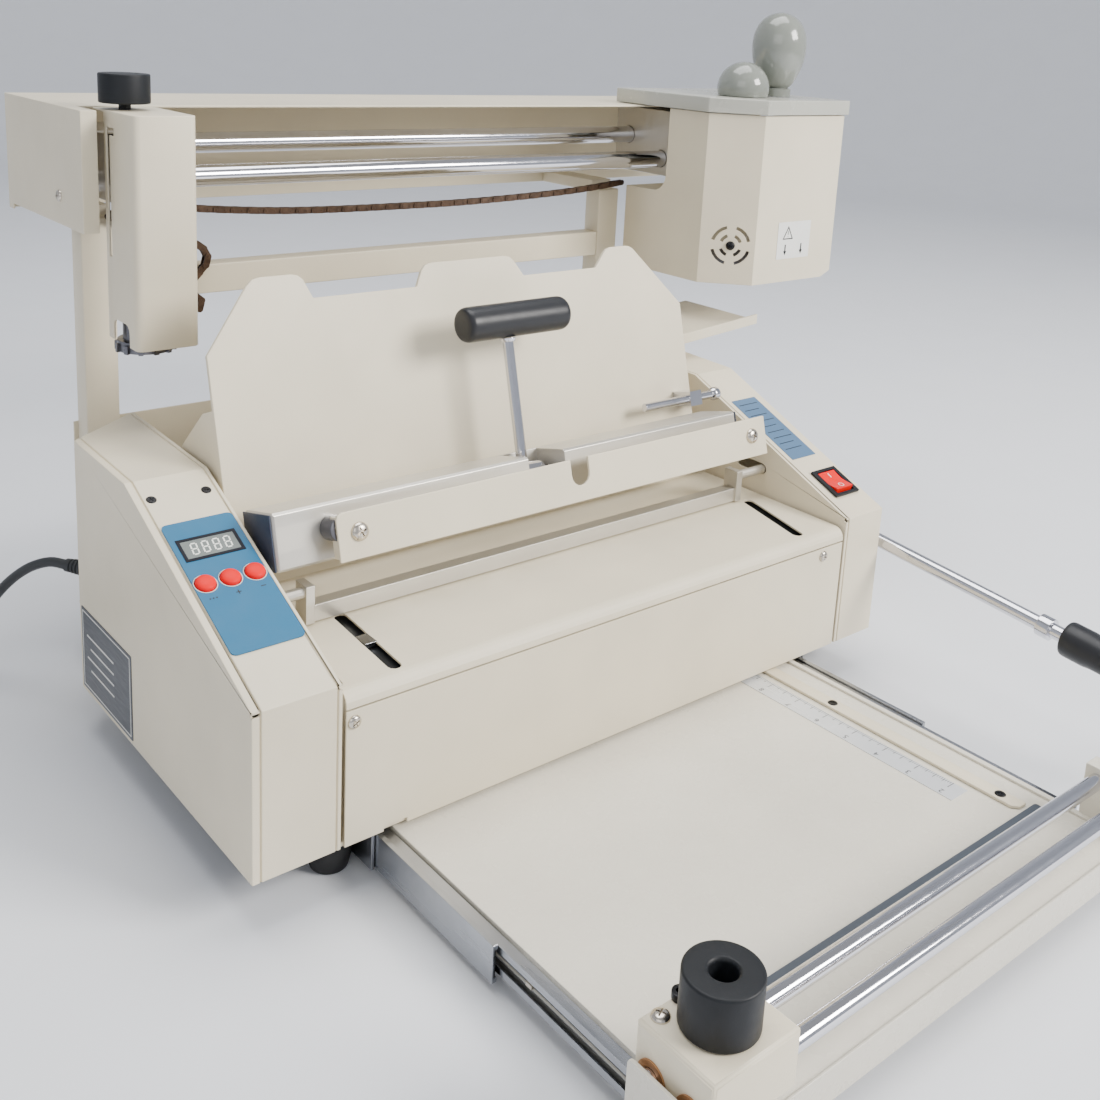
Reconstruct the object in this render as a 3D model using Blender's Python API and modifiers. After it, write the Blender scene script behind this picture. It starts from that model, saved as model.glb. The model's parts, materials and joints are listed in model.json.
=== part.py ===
"""A desktop hot-melt book binder, as a jointed model.

A book clamp leans back between two side housings. A milling head and a heated
glue tank ride on two rods under a rear hood. A tray with a creasing head pulls
out below. X runs to the right, Y to the back and Z up. Every size below is in
millimetres, counted from the middle of the two housings' front faces at the
height of their lower edges. The model stands on Z = 0.
"""

import math

import bmesh
import bpy
from mathutils import Matrix, Vector

MM = 0.001
GAP = 0.3  # between pieces that touch
SHEET = 1.5  # sheet metal
FLOOR = -31.0  # underside of the feet
CENTRE_X = 96.0  # middle of the whole machine
CENTRE_Y = 87.5

# Side housings
SLOPE = 73.0 / 171.0  # rise of the sloping fronts
NOSE_HEIGHT = 103.0
SLOPE_BACK = 171.0
TOP_RISE = 0.028
HOUSING_BACK = 297.0
LEFT_OUT, LEFT_IN = -270.0, -215.5
RIGHT_IN, RIGHT_OUT = 225.0, 270.0
REAR_SLANT = math.atan2(38.0, 54.5)  # the rear faces slant in plan

# Front controls, by their X and their run up the slope from the nose
SWITCH_X, SWITCH_RUN = 249.7, 36.5
BUTTONS_X = (-256.5, -241.1, -225.7)
BUTTON_RUN, BUTTON_HOLE = 92.7, 6.6
LEVER_AXLE = Vector((279.0, 120.0, 82.0))
LEVER_REACH = Vector((0.0, -390.0, -36.0)).normalized()
NIP_SLOT_Y, NIP_Z = (88.0, 111.0), 117.0

# Frame and hood
POST_Y = (360.0, 380.0)
POST_WIDTH = 25.0
LEFT_POST, RIGHT_POST = -225.2, 272.6
HOOD_X = (-247.0, 462.0)
HOOD_Y = (291.0, 450.0)
HOOD_Z = (305.0, 391.0)
HOOD_FRONT = 330.0
FEET = (
    ("front_left", -206.0, 30.0),
    ("front_right", 206.0, 30.0),
    ("rear_left", -206.0, 362.0),
    ("rear_right", 283.0, 362.0),
)
LOWER_ROD = (330.0, 340.0)  # Y, Z of its axis
UPPER_ROD = (377.0, 359.0)
ROD_RADIUS = 8.0

# Book clamp, which leans back and turns about its pins
LEAN = math.radians(15.0)
CLAMP_ORIGIN = Vector((0.0, 130.0, 160.0))
CLAMP_PIVOT = Vector((0.0, 211.0, 165.0))
JAW_GUIDES = (("left", -172.5), ("right", 176.0))  # X of each

# Parked heads
TANK_LEFT, TANK_RIGHT = 298.0, 445.0
TANK_FRONT, TANK_BACK = 211.0, 350.0
TANK_BOTTOM, TANK_TOP = 236.0, 391.0
CUTTER_AXIS = (-208.0, 287.0)  # X, Y

# Creasing tray
TRAY_HALF = 178.0
TRAY_TOP = -3.0
TRAY_FRONT, TRAY_BACK = -267.0, 10.0
CREASE_RODS = (-240.0, -263.5)
CREASE_ROD_Z = 25.0
WHEEL = Vector((-176.0, -251.6, 9.6))
WHEEL_RADIUS = 10.2

# Mains cord
CORD_RADIUS = 3.5
COIL_RADIUS = 38.5
CORD_Z = FLOOR + CORD_RADIUS + 0.1
CORD_ROUTE = [
    (-263.55, 301.02, 72.0),
    (-271.5, 312.4, 71.9),
    (-281.0, 326.0, 65.0),
    (-290.0, 339.0, 53.0),
    (-298.0, 350.5, 38.0),
    (-305.0, 361.0, 20.0),
    (-312.5, 372.0, 2.0),
    (-321.0, 384.5, -14.0),
    (-332.0, 400.5, -24.8),
    (-345.0, 419.5, CORD_Z),
]

CREAM = (0.56, 0.52, 0.44)
PALE_GREY = (0.50, 0.50, 0.47)
STEEL = (0.62, 0.62, 0.63)
BLACK = (0.02, 0.02, 0.022)
RED = (0.62, 0.03, 0.04)
BLUE = (0.10, 0.30, 0.45)


def clear_scene():
    for obj in list(bpy.data.objects):
        bpy.data.objects.remove(obj, do_unlink=True)


def collection(name):
    made = bpy.data.collections.new(name)
    bpy.context.scene.collection.children.link(made)
    return made


clear_scene()
PARTS = collection("book_binder")
TOOLS = collection("cutters")


def empty(name, parent=None, at=(0, 0, 0), turn_x=0.0):
    """An empty at a point of its parent's own millimetres."""
    made = bpy.data.objects.new(name, None)
    made.empty_display_size = 0.02
    PARTS.objects.link(made)
    made.parent = parent
    made.location = (Vector(at) - base_of(parent)) * MM
    made.rotation_euler.x = turn_x
    made["base"] = tuple(at) if turn_x == 0.0 else (0.0, 0.0, 0.0)
    return made


def base_of(parent):
    """The point, in millimetres, where this empty's own origin counts from."""
    return Vector(parent["base"]) if parent else Vector((0, 0, 0))


def paint(obj, colour, roughness=0.5, metallic=0.0):
    material = bpy.data.materials.new(obj.name)
    material.use_nodes = True
    shader = material.node_tree.nodes["Principled BSDF"]
    shader.inputs["Base Color"].default_value = (*colour, 1.0)
    shader.inputs["Roughness"].default_value = roughness
    shader.inputs["Metallic"].default_value = metallic
    obj.data.materials.clear()
    obj.data.materials.append(material)
    return obj


def link(obj, parent):
    PARTS.objects.link(obj)
    obj.parent = parent
    return obj


def hide_tool(obj):
    """Keeps a cutter, or a body that is joined to another, out of the part."""
    if obj.name in PARTS.objects:
        PARTS.objects.unlink(obj)
        TOOLS.objects.link(obj)
    obj.hide_render = True
    obj.display_type = "WIRE"


def combine(obj, operation, tools):
    for tool in tools:
        modifier = obj.modifiers.new(operation.lower() + "_" + tool.name, "BOOLEAN")
        modifier.operation = operation
        modifier.solver = "EXACT"
        modifier.object = tool
        hide_tool(tool)
    return obj


def cut(obj, *tools):
    return combine(obj, "DIFFERENCE", tools)


def join(obj, *tools):
    return combine(obj, "UNION", tools)


def box(name, parent, x, y, z):
    """A block between two limits on each axis."""
    mesh = bpy.data.meshes.new(name)
    shape = bmesh.new()
    size = Vector((x[1] - x[0], y[1] - y[0], z[1] - z[0])) * MM
    bmesh.ops.create_cube(shape, size=1.0, matrix=Matrix.Diagonal((*size, 1.0)))
    shape.to_mesh(mesh)
    shape.free()
    obj = link(bpy.data.objects.new(name, mesh), parent)
    middle = Vector((sum(x) / 2, sum(y) / 2, sum(z) / 2))
    obj.location = (middle - base_of(parent)) * MM
    return obj


def rod(name, parent, start, end, radius, sides=16):
    """A cylinder from one point to another."""
    start, end = Vector(start), Vector(end)
    mesh = bpy.data.meshes.new(name)
    shape = bmesh.new()
    bmesh.ops.create_cone(
        shape,
        cap_ends=True,
        segments=sides,
        radius1=radius * MM,
        radius2=radius * MM,
        depth=(end - start).length * MM,
    )
    shape.to_mesh(mesh)
    shape.free()
    mesh.shade_smooth()
    mesh.set_sharp_from_angle(angle=math.radians(40))
    obj = link(bpy.data.objects.new(name, mesh), parent)
    obj.rotation_mode = "QUATERNION"
    obj.rotation_quaternion = Vector((0, 0, 1)).rotation_difference(end - start)
    obj.location = ((start + end) / 2 - base_of(parent)) * MM
    return obj


def turned(name, parent, at, towards, profile, sides=24):
    """A profile of (radius, height) from top to bottom, turned about an axis."""
    mesh = bpy.data.meshes.new(name)
    points = [(radius * MM, 0.0, height * MM) for radius, height in profile]
    edges = [(i, i + 1) for i in range(len(points) - 1)]
    mesh.from_pydata(points, edges, [])
    obj = link(bpy.data.objects.new(name, mesh), parent)
    obj.rotation_mode = "QUATERNION"
    obj.rotation_quaternion = Vector((0, 0, 1)).rotation_difference(Vector(towards))
    obj.location = (Vector(at) - base_of(parent)) * MM
    screw = obj.modifiers.new("turn", "SCREW")
    screw.axis = "Z"
    screw.steps = screw.render_steps = sides
    screw.use_merge_vertices = True
    screw.merge_threshold = 0.00001
    screw.use_smooth_shade = True
    return obj


def ring(name, parent, at, towards, profile, sides=24):
    """A closed profile of (radius, height) turned about an axis, as a ring."""
    return turned(name, parent, at, towards, [*profile, profile[0]], sides)


def as_mesh(obj):
    """Makes a curve a mesh object with welded caps, so that it can be cut."""
    bpy.context.view_layer.update()
    graph = bpy.context.evaluated_depsgraph_get()
    mesh = bpy.data.meshes.new_from_object(obj.evaluated_get(graph))
    welded = bmesh.new()
    welded.from_mesh(mesh)
    bmesh.ops.remove_doubles(welded, verts=welded.verts, dist=0.00001)
    welded.to_mesh(mesh)
    welded.free()
    name, parent = obj.name, obj.parent
    placed = obj.matrix_world.copy()
    bpy.data.objects.remove(obj, do_unlink=True)
    made = link(bpy.data.objects.new(name, mesh), parent)
    made.matrix_world = placed
    return made


AXES = {
    "X": Matrix(((0, 0, 1), (1, 0, 0), (0, 1, 0))),
    "Y": Matrix(((1, 0, 0), (0, 0, -1), (0, 1, 0))),
    "Z": Matrix.Identity(3),
}


def flat(name, parent, axis, outline, start, end, holes=()):
    """A flat outline, with any holes, that is as thick as start to end along axis.

    Its points are (Y, Z) for axis X, (X, Z) for axis Y and (X, Y) for axis Z.
    """
    curve = bpy.data.curves.new(name, "CURVE")
    curve.dimensions = "2D"
    curve.fill_mode = "BOTH"
    curve.extrude = abs(end - start) / 2 * MM
    for loop in (outline, *holes):
        spline = curve.splines.new("POLY")
        spline.points.add(len(loop) - 1)
        for point, (a, b) in zip(spline.points, loop):
            point.co = (a * MM, b * MM, 0.0, 1.0)
        spline.use_cyclic_u = True
    obj = link(bpy.data.objects.new(name, curve), parent)
    middle = (start + end) / 2
    along = {"X": (middle, 0, 0), "Y": (0, middle, 0), "Z": (0, 0, middle)}[axis]
    obj.rotation_mode = "QUATERNION"
    obj.rotation_quaternion = AXES[axis].to_quaternion()
    obj.location = (Vector(along) - base_of(parent)) * MM
    return as_mesh(obj)


def arc(centre, radius, start, end, steps):
    """Points round an arc, in degrees."""
    points = []
    for step in range(steps + 1):
        angle = math.radians(start + (end - start) * step / steps)
        points.append(
            (centre[0] + radius * math.cos(angle), centre[1] + radius * math.sin(angle))
        )
    return points


def slot_outline(start, end, width, steps=5):
    """A slot with round ends, between the centres of its two ends."""
    angle = math.degrees(math.atan2(end[1] - start[1], end[0] - start[0]))
    return arc(end, width / 2, angle - 90, angle + 90, steps) + arc(
        start, width / 2, angle + 90, angle + 270, steps
    )


def smooth_route(points, spacing):
    """Points at about an even spacing on a smooth curve through a route."""
    knots = [Vector(p) for p in points]
    knots = [2 * knots[0] - knots[1], *knots, 2 * knots[-1] - knots[-2]]
    dense = []
    for a, b, c, d in zip(knots, knots[1:], knots[2:], knots[3:]):
        for step in range(20):
            t = step / 20
            dense.append(
                0.5
                * (
                    2 * b
                    + (c - a) * t
                    + (2 * a - 5 * b + 4 * c - d) * t**2
                    + (3 * b - a - 3 * c + d) * t**3
                )
            )
    dense.append(knots[-2])
    length = sum((b - a).length for a, b in zip(dense, dense[1:]))
    step = length / round(length / spacing)
    kept, run = [dense[0]], 0.0
    for a, b in zip(dense, dense[1:]):
        run += (b - a).length
        if run >= step - 1e-6:
            kept.append(b)
            run -= step
    if (kept[-1] - dense[-1]).length > 0.5 * step:
        kept.append(dense[-1])
    kept[-1] = dense[-1]
    return kept


def tube(name, parent, points, radius, resolution=2):
    """A round tube along points, with flat ends."""
    curve = bpy.data.curves.new(name, "CURVE")
    curve.dimensions = "3D"
    curve.bevel_depth = radius * MM
    curve.bevel_resolution = resolution
    curve.use_fill_caps = True
    spline = curve.splines.new("POLY")
    spline.points.add(len(points) - 1)
    for point, place in zip(spline.points, points):
        point.co = (*((Vector(place) - base_of(parent)) * MM), 1.0)
    return link(bpy.data.objects.new(name, curve), parent)


def soften(obj, width, segments=1):
    """Rounds the edges of a piece by a width."""
    bevel = obj.modifiers.new("edges", "BEVEL")
    bevel.width = width * MM
    bevel.segments = segments
    bevel.limit_method = "ANGLE"
    bevel.angle_limit = math.radians(50)
    return obj


# ---------------------------------------------------------------- the frame


def make_base(machine):
    plan = [
        (LEFT_IN + GAP, 2.0),
        (RIGHT_IN - GAP, 2.0),
        (RIGHT_IN - GAP, 299.0),
        (RIGHT_POST + POST_WIDTH + 3, 299.0),
        (RIGHT_POST + POST_WIDTH + 3, 383.0),
        (LEFT_POST - 3, 383.0),
        (LEFT_POST - 3, 299.0),
        (LEFT_IN + GAP, 299.0),
    ]
    paint(flat("base_plate", machine, "Z", plan, 0.0, 3.0), CREAM)
    profile = [(0, -GAP), (13, -GAP), (13, -26), (11.5, FLOOR), (0, FLOOR)]
    for name, x, y in FEET:
        foot = turned(f"foot_{name}", machine, (x, y, 0), (0, 0, 1), profile, 20)
        paint(foot, BLACK, 0.8)


def housing_profile(inset):
    """Side view of a housing, drawn in by an inset and open below it if there is one."""
    slope_length = math.hypot(1.0, SLOPE)
    front = NOSE_HEIGHT + SLOPE * inset - slope_length * inset
    top_at_bend = NOSE_HEIGHT + SLOPE * SLOPE_BACK
    low = -5.0 if inset else 0.0
    return [
        (inset, low),
        (inset, front),
        (SLOPE_BACK + 0.22 * inset, top_at_bend - inset),
        (HOUSING_BACK, top_at_bend + TOP_RISE * (HOUSING_BACK - SLOPE_BACK) - inset),
        (HOUSING_BACK, low),
    ]


def rear_cutter(name, machine, outer, turn, shift):
    """A block whose slanting front face is the rear of a housing, moved forward by a shift."""
    block = box(name, machine, (-90, 90), (0, 120), (-20, 200))
    block.location = (
        Vector((outer, 257.0 - shift / math.cos(REAR_SLANT), 90.0)) * MM
    )
    block.rotation_euler.z = turn
    middle = Vector((0.0, 60.0, 0.0)) * MM
    block.location += Matrix.Rotation(turn, 3, "Z") @ middle
    return block


def make_housing(name, machine, outer, inner):
    side = 1 if inner > outer else -1
    turn = side * REAR_SLANT
    low, high = sorted((outer, inner))
    shell = flat(name, machine, "X", housing_profile(0.0), low, high)
    hollow = flat(
        name + "_hollow",
        machine,
        "X",
        housing_profile(SHEET),
        low + SHEET,
        high - SHEET,
    )
    cut(shell, rear_cutter(name + "_rear", machine, outer, turn, 0.0))
    cut(hollow, rear_cutter(name + "_rear_wall", machine, outer, turn, SHEET))
    cut(shell, hollow)
    return paint(shell, CREAM, 0.45)


def clamp_pin_hole(name, machine, x):
    _, y, z = CLAMP_PIVOT
    return rod(name, machine, (x - 6, y, z), (x + 6, y, z), 5.6)


def nip_slot(name, machine, x):
    start, end = NIP_SLOT_Y
    outline = slot_outline((start, NIP_Z), (end, NIP_Z), 8.6)
    return flat(name, machine, "X", outline, x - 6, x + 6)


def make_housings(machine, slope):
    left = make_housing("left_housing", machine, LEFT_OUT, LEFT_IN)
    cut(left, clamp_pin_hole("left_pin_hole", machine, LEFT_IN))
    cut(left, nip_slot("left_nip_slot", machine, LEFT_IN))
    for number, x in enumerate(BUTTONS_X):
        start, end = (x, BUTTON_RUN, -8), (x, BUTTON_RUN, 8)
        cut(left, rod(f"button_hole_{number}", slope, start, end, BUTTON_HOLE))
    right = make_housing("right_housing", machine, RIGHT_OUT, RIGHT_IN)
    cut(right, clamp_pin_hole("right_pin_hole", machine, RIGHT_IN))
    cut(right, nip_slot("right_nip_slot", machine, RIGHT_IN))
    _, y, z = LEVER_AXLE
    cut(right, rod("lever_hole", machine, (262, y, z), (280, y, z), 6.0))
    opening = box(
        "switch_opening",
        slope,
        (SWITCH_X - 11.7, SWITCH_X + 11.7),
        (SWITCH_RUN - 13.6, SWITCH_RUN + 13.6),
        (-8, 8),
    )
    cut(right, opening)


def make_panels(machine):
    notch = [(-187, -1), (-171, -1), (-171, 3), (-187, 3)]
    front = box("front_panel", machine, (-213, 222.7), (0, SHEET), (0, 85.2))
    cut(front, flat("panel_notch", machine, "Y", notch, -2, 4))
    paint(front, CREAM, 0.45)

    nose = (8.0, 88.0)
    section = [(0.0, 86.3)] + arc(nose, 8.0, 180, 90, 5)
    section += [(150.0, 96.0), (150.0, 108.0), (151.5, 108.0), (151.5, 94.5)]
    section += arc(nose, 8.0 - SHEET, 90, 180, 5) + [(SHEET, 86.3)]
    deck = flat("deck_cover", machine, "X", section, -213, 222.7)
    left = slot_outline((-173.6, 14.0), (-168.6, 84.0), 8.5)
    right = slot_outline((184.0, 14.0), (202.0, 79.0), 8.5)
    cut(deck, flat("left_deck_slot", machine, "Z", left, 90, 100))
    cut(deck, flat("right_deck_slot", machine, "Z", right, 90, 100))
    paint(deck, CREAM, 0.45)

    x = (LEFT_POST - 3, RIGHT_POST + POST_WIDTH + 3)
    rear = box("rear_panel", machine, x, (380.3, 381.8), (3.3, 150))
    paint(rear, CREAM, 0.5)


def make_frame(machine):
    front, back = POST_Y
    outline = [
        (front, 3.3),
        (back, 3.3),
        (back, 305.0),
        (448.2, 305.0),
        (448.2, 316.0),
        (372.0, 316.0),
        (372.0, 308.0),
        (front, 308.0),
    ]
    for name, x in (("left_post", LEFT_POST), ("right_post", RIGHT_POST)):
        paint(flat(name, machine, "X", outline, x, x + POST_WIDTH), CREAM)
    beam_x = (LEFT_POST + POST_WIDTH + GAP, RIGHT_POST - GAP)
    paint(box("cross_beam", machine, beam_x, (360, 378), (244, 267)), CREAM)


def make_hood(machine):
    hood = box("hood", machine, HOOD_X, HOOD_Y, HOOD_Z)
    inside = (HOOD_X[0] + SHEET, HOOD_X[1] - SHEET)
    back, top = HOOD_Y[1] - SHEET, HOOD_Z[1] - SHEET
    strip = -236.0
    cut(
        hood,
        box("hood_inside", machine, inside, (280, back), (295, top)),
        box("hood_front", machine, (strip, 470), (280, HOOD_FRONT), (295, 400)),
        box("hood_underside", machine, (-250, 470), (280, 440), (295, 309)),
    )
    join(
        hood,
        box("hood_flange", machine, (HOOD_X[0], strip), (291, 292.5), (309, 391)),
    )
    paint(hood, CREAM, 0.45)
    for name, (y, z) in (("lower", LOWER_ROD), ("upper", UPPER_ROD)):
        start = (inside[0] + GAP, y, z)
        end = (inside[1] - GAP, y, z)
        guide = rod(f"{name}_guide_rod", machine, start, end, ROD_RADIUS, 24)
        paint(guide, STEEL, 0.08, 1.0)


def make_chain(machine):
    y = 355.0
    main = [(-206, 309), (-190, 317), (-160, 314), (-120, 310), (-70, 306.5)]
    main += [(-20, 305), (40, 304.5), (100, 304.5), (160, 306), (220, 308.5)]
    main += [(260, 311.5), (296, 315)]
    tail = [(-206, 309), (-180, 300), (-150, 290), (-133, 279), (-133, 268)]
    tail += [(-143, 258), (-145, 248), (-136, 239), (-142, 230)]
    outline = band(main, 6.0)
    chain = flat("roller_chain", machine, "Y", outline, y - 3.2, y + 3.2)
    hanging = flat("chain_tail", machine, "Y", band(tail, 6.0), y - 3.1, y + 3.1)
    join(chain, hanging)
    for name, x, z in (("left", -205, 308.5), ("right", 290, 314.5)):
        join(chain, rod(f"chain_pin_{name}", machine, (x, y, z), (x, 359.7, z), 2.0, 10))
    paint(chain, (0.06, 0.05, 0.045), 0.45, 0.8)


def band(line, width):
    """The outline of a band of even width along a line in a plane."""
    points = [Vector(p) for p in line]
    upper, lower = [], []
    for i, point in enumerate(points):
        before, after = points[max(i - 1, 0)], points[min(i + 1, len(points) - 1)]
        along = (after - before).normalized()
        across = Vector((-along.y, along.x)) * width / 2
        upper.append(tuple(point + across))
        lower.append(tuple(point - across))
    return upper + lower[::-1]


def make_drip_tray(machine):
    section = [(214, 190), (345, 201), (345, 202.5), (214, 191.5)]
    pan = flat("drip_tray", machine, "Y", section, 212, 304)
    lip = [(214, 188), (345, 199), (345, 208), (214, 197)]
    bracket = box("drip_bracket", machine, (240, 262), (240, 284), (178.8, 194))
    front = flat("drip_lip", machine, "Y", lip, 210.5, 212.5)
    join(pan, front, bracket)
    cut(pan, box("bracket_foot", machine, (230, 270), (230, 290), (170, 180.3)))
    paint(pan, CREAM, 0.5)


def make_outer_slides(machine):
    for name, side in (("left", -1), ("right", 1)):
        x = sorted((side * 190.0, side * 192.0))
        slide = box(f"{name}_outer_slide", machine, x, (5, 235), (-27, -GAP))
        paint(slide, STEEL, 0.35, 1.0)


# --------------------------------------------------------- the front controls


def make_overlay(slope):
    left, right, low, high, corner = -264.6, -218.2, 38.8, 143.8, 4.0
    outline = (
        arc((right - corner, low + corner), corner, -90, 0, 3)
        + arc((right - corner, high - corner), corner, 0, 90, 3)
        + arc((left + corner, high - corner), corner, 90, 180, 3)
        + arc((left + corner, low + corner), corner, 180, 270, 3)
    )
    holes = [arc((x, BUTTON_RUN), BUTTON_HOLE, 360, 22.5, 15) for x in BUTTONS_X]
    overlay = flat("control_overlay", slope, "Z", outline, GAP, 1.1, holes)
    paint(overlay, BLUE, 0.35)


def make_buttons(slope):
    profile = [(0, 4.1), (3.4, 3.9), (5.4, 3.1), (6.1, 1.9), (6.1, -1.9)]
    profile += [(7.4, -1.9), (7.4, -3.4), (0, -3.4)]
    for side, x in zip(("left", "middle", "right"), BUTTONS_X):
        place = (x, BUTTON_RUN, 0)
        button = turned(f"button_{side}", slope, place, (0, 0, 1), profile, 20)
        paint(button, RED, 0.35)


def around_switch(half_x, half_s):
    return (
        (SWITCH_X - half_x, SWITCH_X + half_x),
        (SWITCH_RUN - half_s, SWITCH_RUN + half_s),
    )


def make_switch(slope):
    bezel = box("switch_bezel", slope, *around_switch(14.0, 14.8), (GAP, 2.4))
    join(bezel, box("switch_skirt", slope, *around_switch(11.3, 13.2), (-14, 1.5)))
    cut(bezel, box("switch_well", slope, *around_switch(10.1, 12.1), (-20, 5)))
    paint(bezel, BLACK, 0.4)

    axle = empty("rocker_axle", slope, (SWITCH_X, SWITCH_RUN, -2.0))
    half = 10.6
    side = [(-half, -6), (half, -6), (half, 5.6), (0, 4.0), (-half, 5.6)]
    side = [(SWITCH_RUN + s, h - 2.0) for s, h in side]
    rocker = flat("power_rocker", axle, "X", side, SWITCH_X - 9.7, SWITCH_X + 9.7)
    axle.rotation_euler.x = math.radians(-6)
    paint(rocker, RED, 0.25)


def make_lever(machine):
    axle = empty("lever_axle", machine, LEVER_AXLE)
    _, y, z = LEVER_AXLE
    tip = LEVER_AXLE + LEVER_REACH * 278
    arm = rod("press_lever_arm", axle, LEVER_AXLE, tip, 5.5, 20)
    hub = rod("lever_hub", axle, (270.6, y, z), (286, y, z), 12, 20)
    pin = rod("lever_pin", axle, (264, y, z), (275, y, z), 5.6, 16)
    paint(join(arm, hub, pin), STEEL, 0.1, 1.0)
    profile = [(0, 113), (9, 113), (13, 109), (13, 4), (12, 0), (0, 0)]
    place = tip + LEVER_REACH * GAP
    grip = turned("press_lever_grip", axle, place, LEVER_REACH, profile, 20)
    paint(grip, BLACK, 0.5)


def make_nip(machine):
    bar = box("front_nip_bar", machine, (-190, 193), (85, 95), (97, 108))
    y = NIP_SLOT_Y[0]
    for name, cheek, reach in (("left", (-193, -187), -226), ("right", (190, 196), 236)):
        end = box(f"nip_cheek_{name}", machine, cheek, (83, 97), (97, 122))
        start = sum(cheek) / 2
        pin = rod(f"nip_pin_{name}", machine, (start, y, NIP_Z), (reach, y, NIP_Z), 3.6, 12)
        join(bar, end, pin)
    paint(bar, STEEL, 0.3, 1.0)


# -------------------------------------------------------------- the book clamp


def make_clamp(machine):
    """The clamp's own axes are X, N out of the plate to the back, and W up along it."""
    turn = empty("clamp_turn", machine, CLAMP_PIVOT, -LEAN)
    local = Matrix.Rotation(LEAN, 3, "X") @ (CLAMP_PIVOT - CLAMP_ORIGIN)
    turn["base"] = tuple(local)
    make_back_plate(turn, local)
    make_front_plate(turn)
    make_side_stop(turn)
    make_jaw(turn)
    make_clamp_lever(turn)


def make_back_plate(turn, pivot):
    outline = [(-213, -36), (204, -36), (204, 89)]
    outline += arc((150, 129), 12, 50, 90, 2)
    outline += arc((134, 131), 10, 90, 150, 2)
    outline += [(116, 126), (44, 126)]
    outline += arc((28, 132), 10, 30, 90, 2) + arc((-38, 132), 10, 90, 150, 2)
    outline += [(-52, 126), (-134, 126)]
    outline += arc((-148, 133), 10, 35, 90, 2) + arc((-171, 131), 12, 90, 145, 2)
    outline += [(-213, 96.5)]
    plate = flat("clamp_back_plate", turn, "Y", outline, 22, 25)
    _, n, w = pivot
    arm = [(23, -10), (23, 62), (40, 60), (n + 8, w + 10), (n + 10, w)]
    arm += [(n + 8, w - 10), (40, -4)]
    for name, x, tip in (("left", -213.0, -224.0), ("right", 200.0, 234.0)):
        cheek = flat(f"{name}_arm", turn, "X", arm, x, x + 4)
        pin = rod(f"{name}_pin", turn, (x + 2, n, w), (tip, n, w), 5.0, 16)
        join(plate, cheek, pin)
    paint(plate, CREAM, 0.45)


def make_front_plate(turn):
    outline = [(-177, -36), (208, -36), (208, -6)]
    outline += [(24, -6)] + arc((16, -17), 8, 0, -180, 8) + [(8, -6)]
    outline += arc((-173, -10), 4, 90, 180, 2)
    plate = flat("clamp_front_plate", turn, "Y", outline, -53, -51)
    for name, x in JAW_GUIDES:
        join(plate, rod(f"{name}_guide", turn, (x, -52, -16), (x, 21.7, -16), 4.2))
    paint(plate, CREAM, 0.45)


def make_side_stop(turn):
    stop = rod("side_stop", turn, (136, 6, 11), (214, 6, 11), 3.5, 12)
    profile = [(0, 5.5), (3.1, 4.6), (5.5, 0), (3.1, -4.6), (0, -5.5)]
    ball = turned("stop_ball", turn, (215.5, 6, 11), (1, 0, 0), profile, 12)
    foot = box("stop_foot", turn, (184, 197), (2, 21.7), (5, 17))
    paint(join(stop, ball, foot), STEEL, 0.15, 1.0)


def make_jaw(turn):
    """The bar that closes on the book, with a pocket for the lever."""
    slide = empty("jaw_slide", turn, (0, -18, -18))
    jaw = soften(box("clamp_front_jaw", slide, (-211, 193), (-37, 0), (-36, 0)), 1.5)
    cut(jaw, box("lever_pocket", slide, (-16, 16), (-45, -5), (-28, 8)))
    for name, x in JAW_GUIDES:
        cut(jaw, rod(f"{name}_guide_hole", slide, (x, -45, -16), (x, 8, -16), 5.2))
    cut(jaw, rod("lever_pin_hole", slide, (-20.5, -15, -15), (18.5, -15, -15), 3.4, 12))
    paint(jaw, STEEL, 0.3, 1.0)


def make_clamp_lever(turn):
    axle = empty("clamp_lever_axle", turn, (0, -15, -15))
    stem = rod("clamp_lever_stem", axle, (-5.5, -15, -15), (-5.5, -15, 82.6), 4.0)
    hub = rod("lever_boss", axle, (-12, -15, -15), (10, -15, -15), 8.0, 20)
    pin = rod("lever_boss_pin", axle, (-20, -15, -15), (18, -15, -15), 3.0, 12)
    paint(join(stem, hub, pin), STEEL, 0.1, 1.0)
    profile = [(0, 45), (10.5, 45), (12.5, 42.5), (12.5, -42.5), (10.5, -45), (0, -45)]
    grip = turned("clamp_lever_grip", axle, (2, -15, 95.4), (1, 0, 0), profile, 24)
    paint(grip, BLACK, 0.5)


# ------------------------------------------------------------- the milling head


def rod_bores(name, parent, x):
    """Two cutters that clear both guide rods."""
    return [
        rod(f"{name}_bore_{i}", parent, (x[0] - 5, y, z), (x[1] + 5, y, z), 8.4, 24)
        for i, (y, z) in enumerate((LOWER_ROD, UPPER_ROD))
    ]


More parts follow.
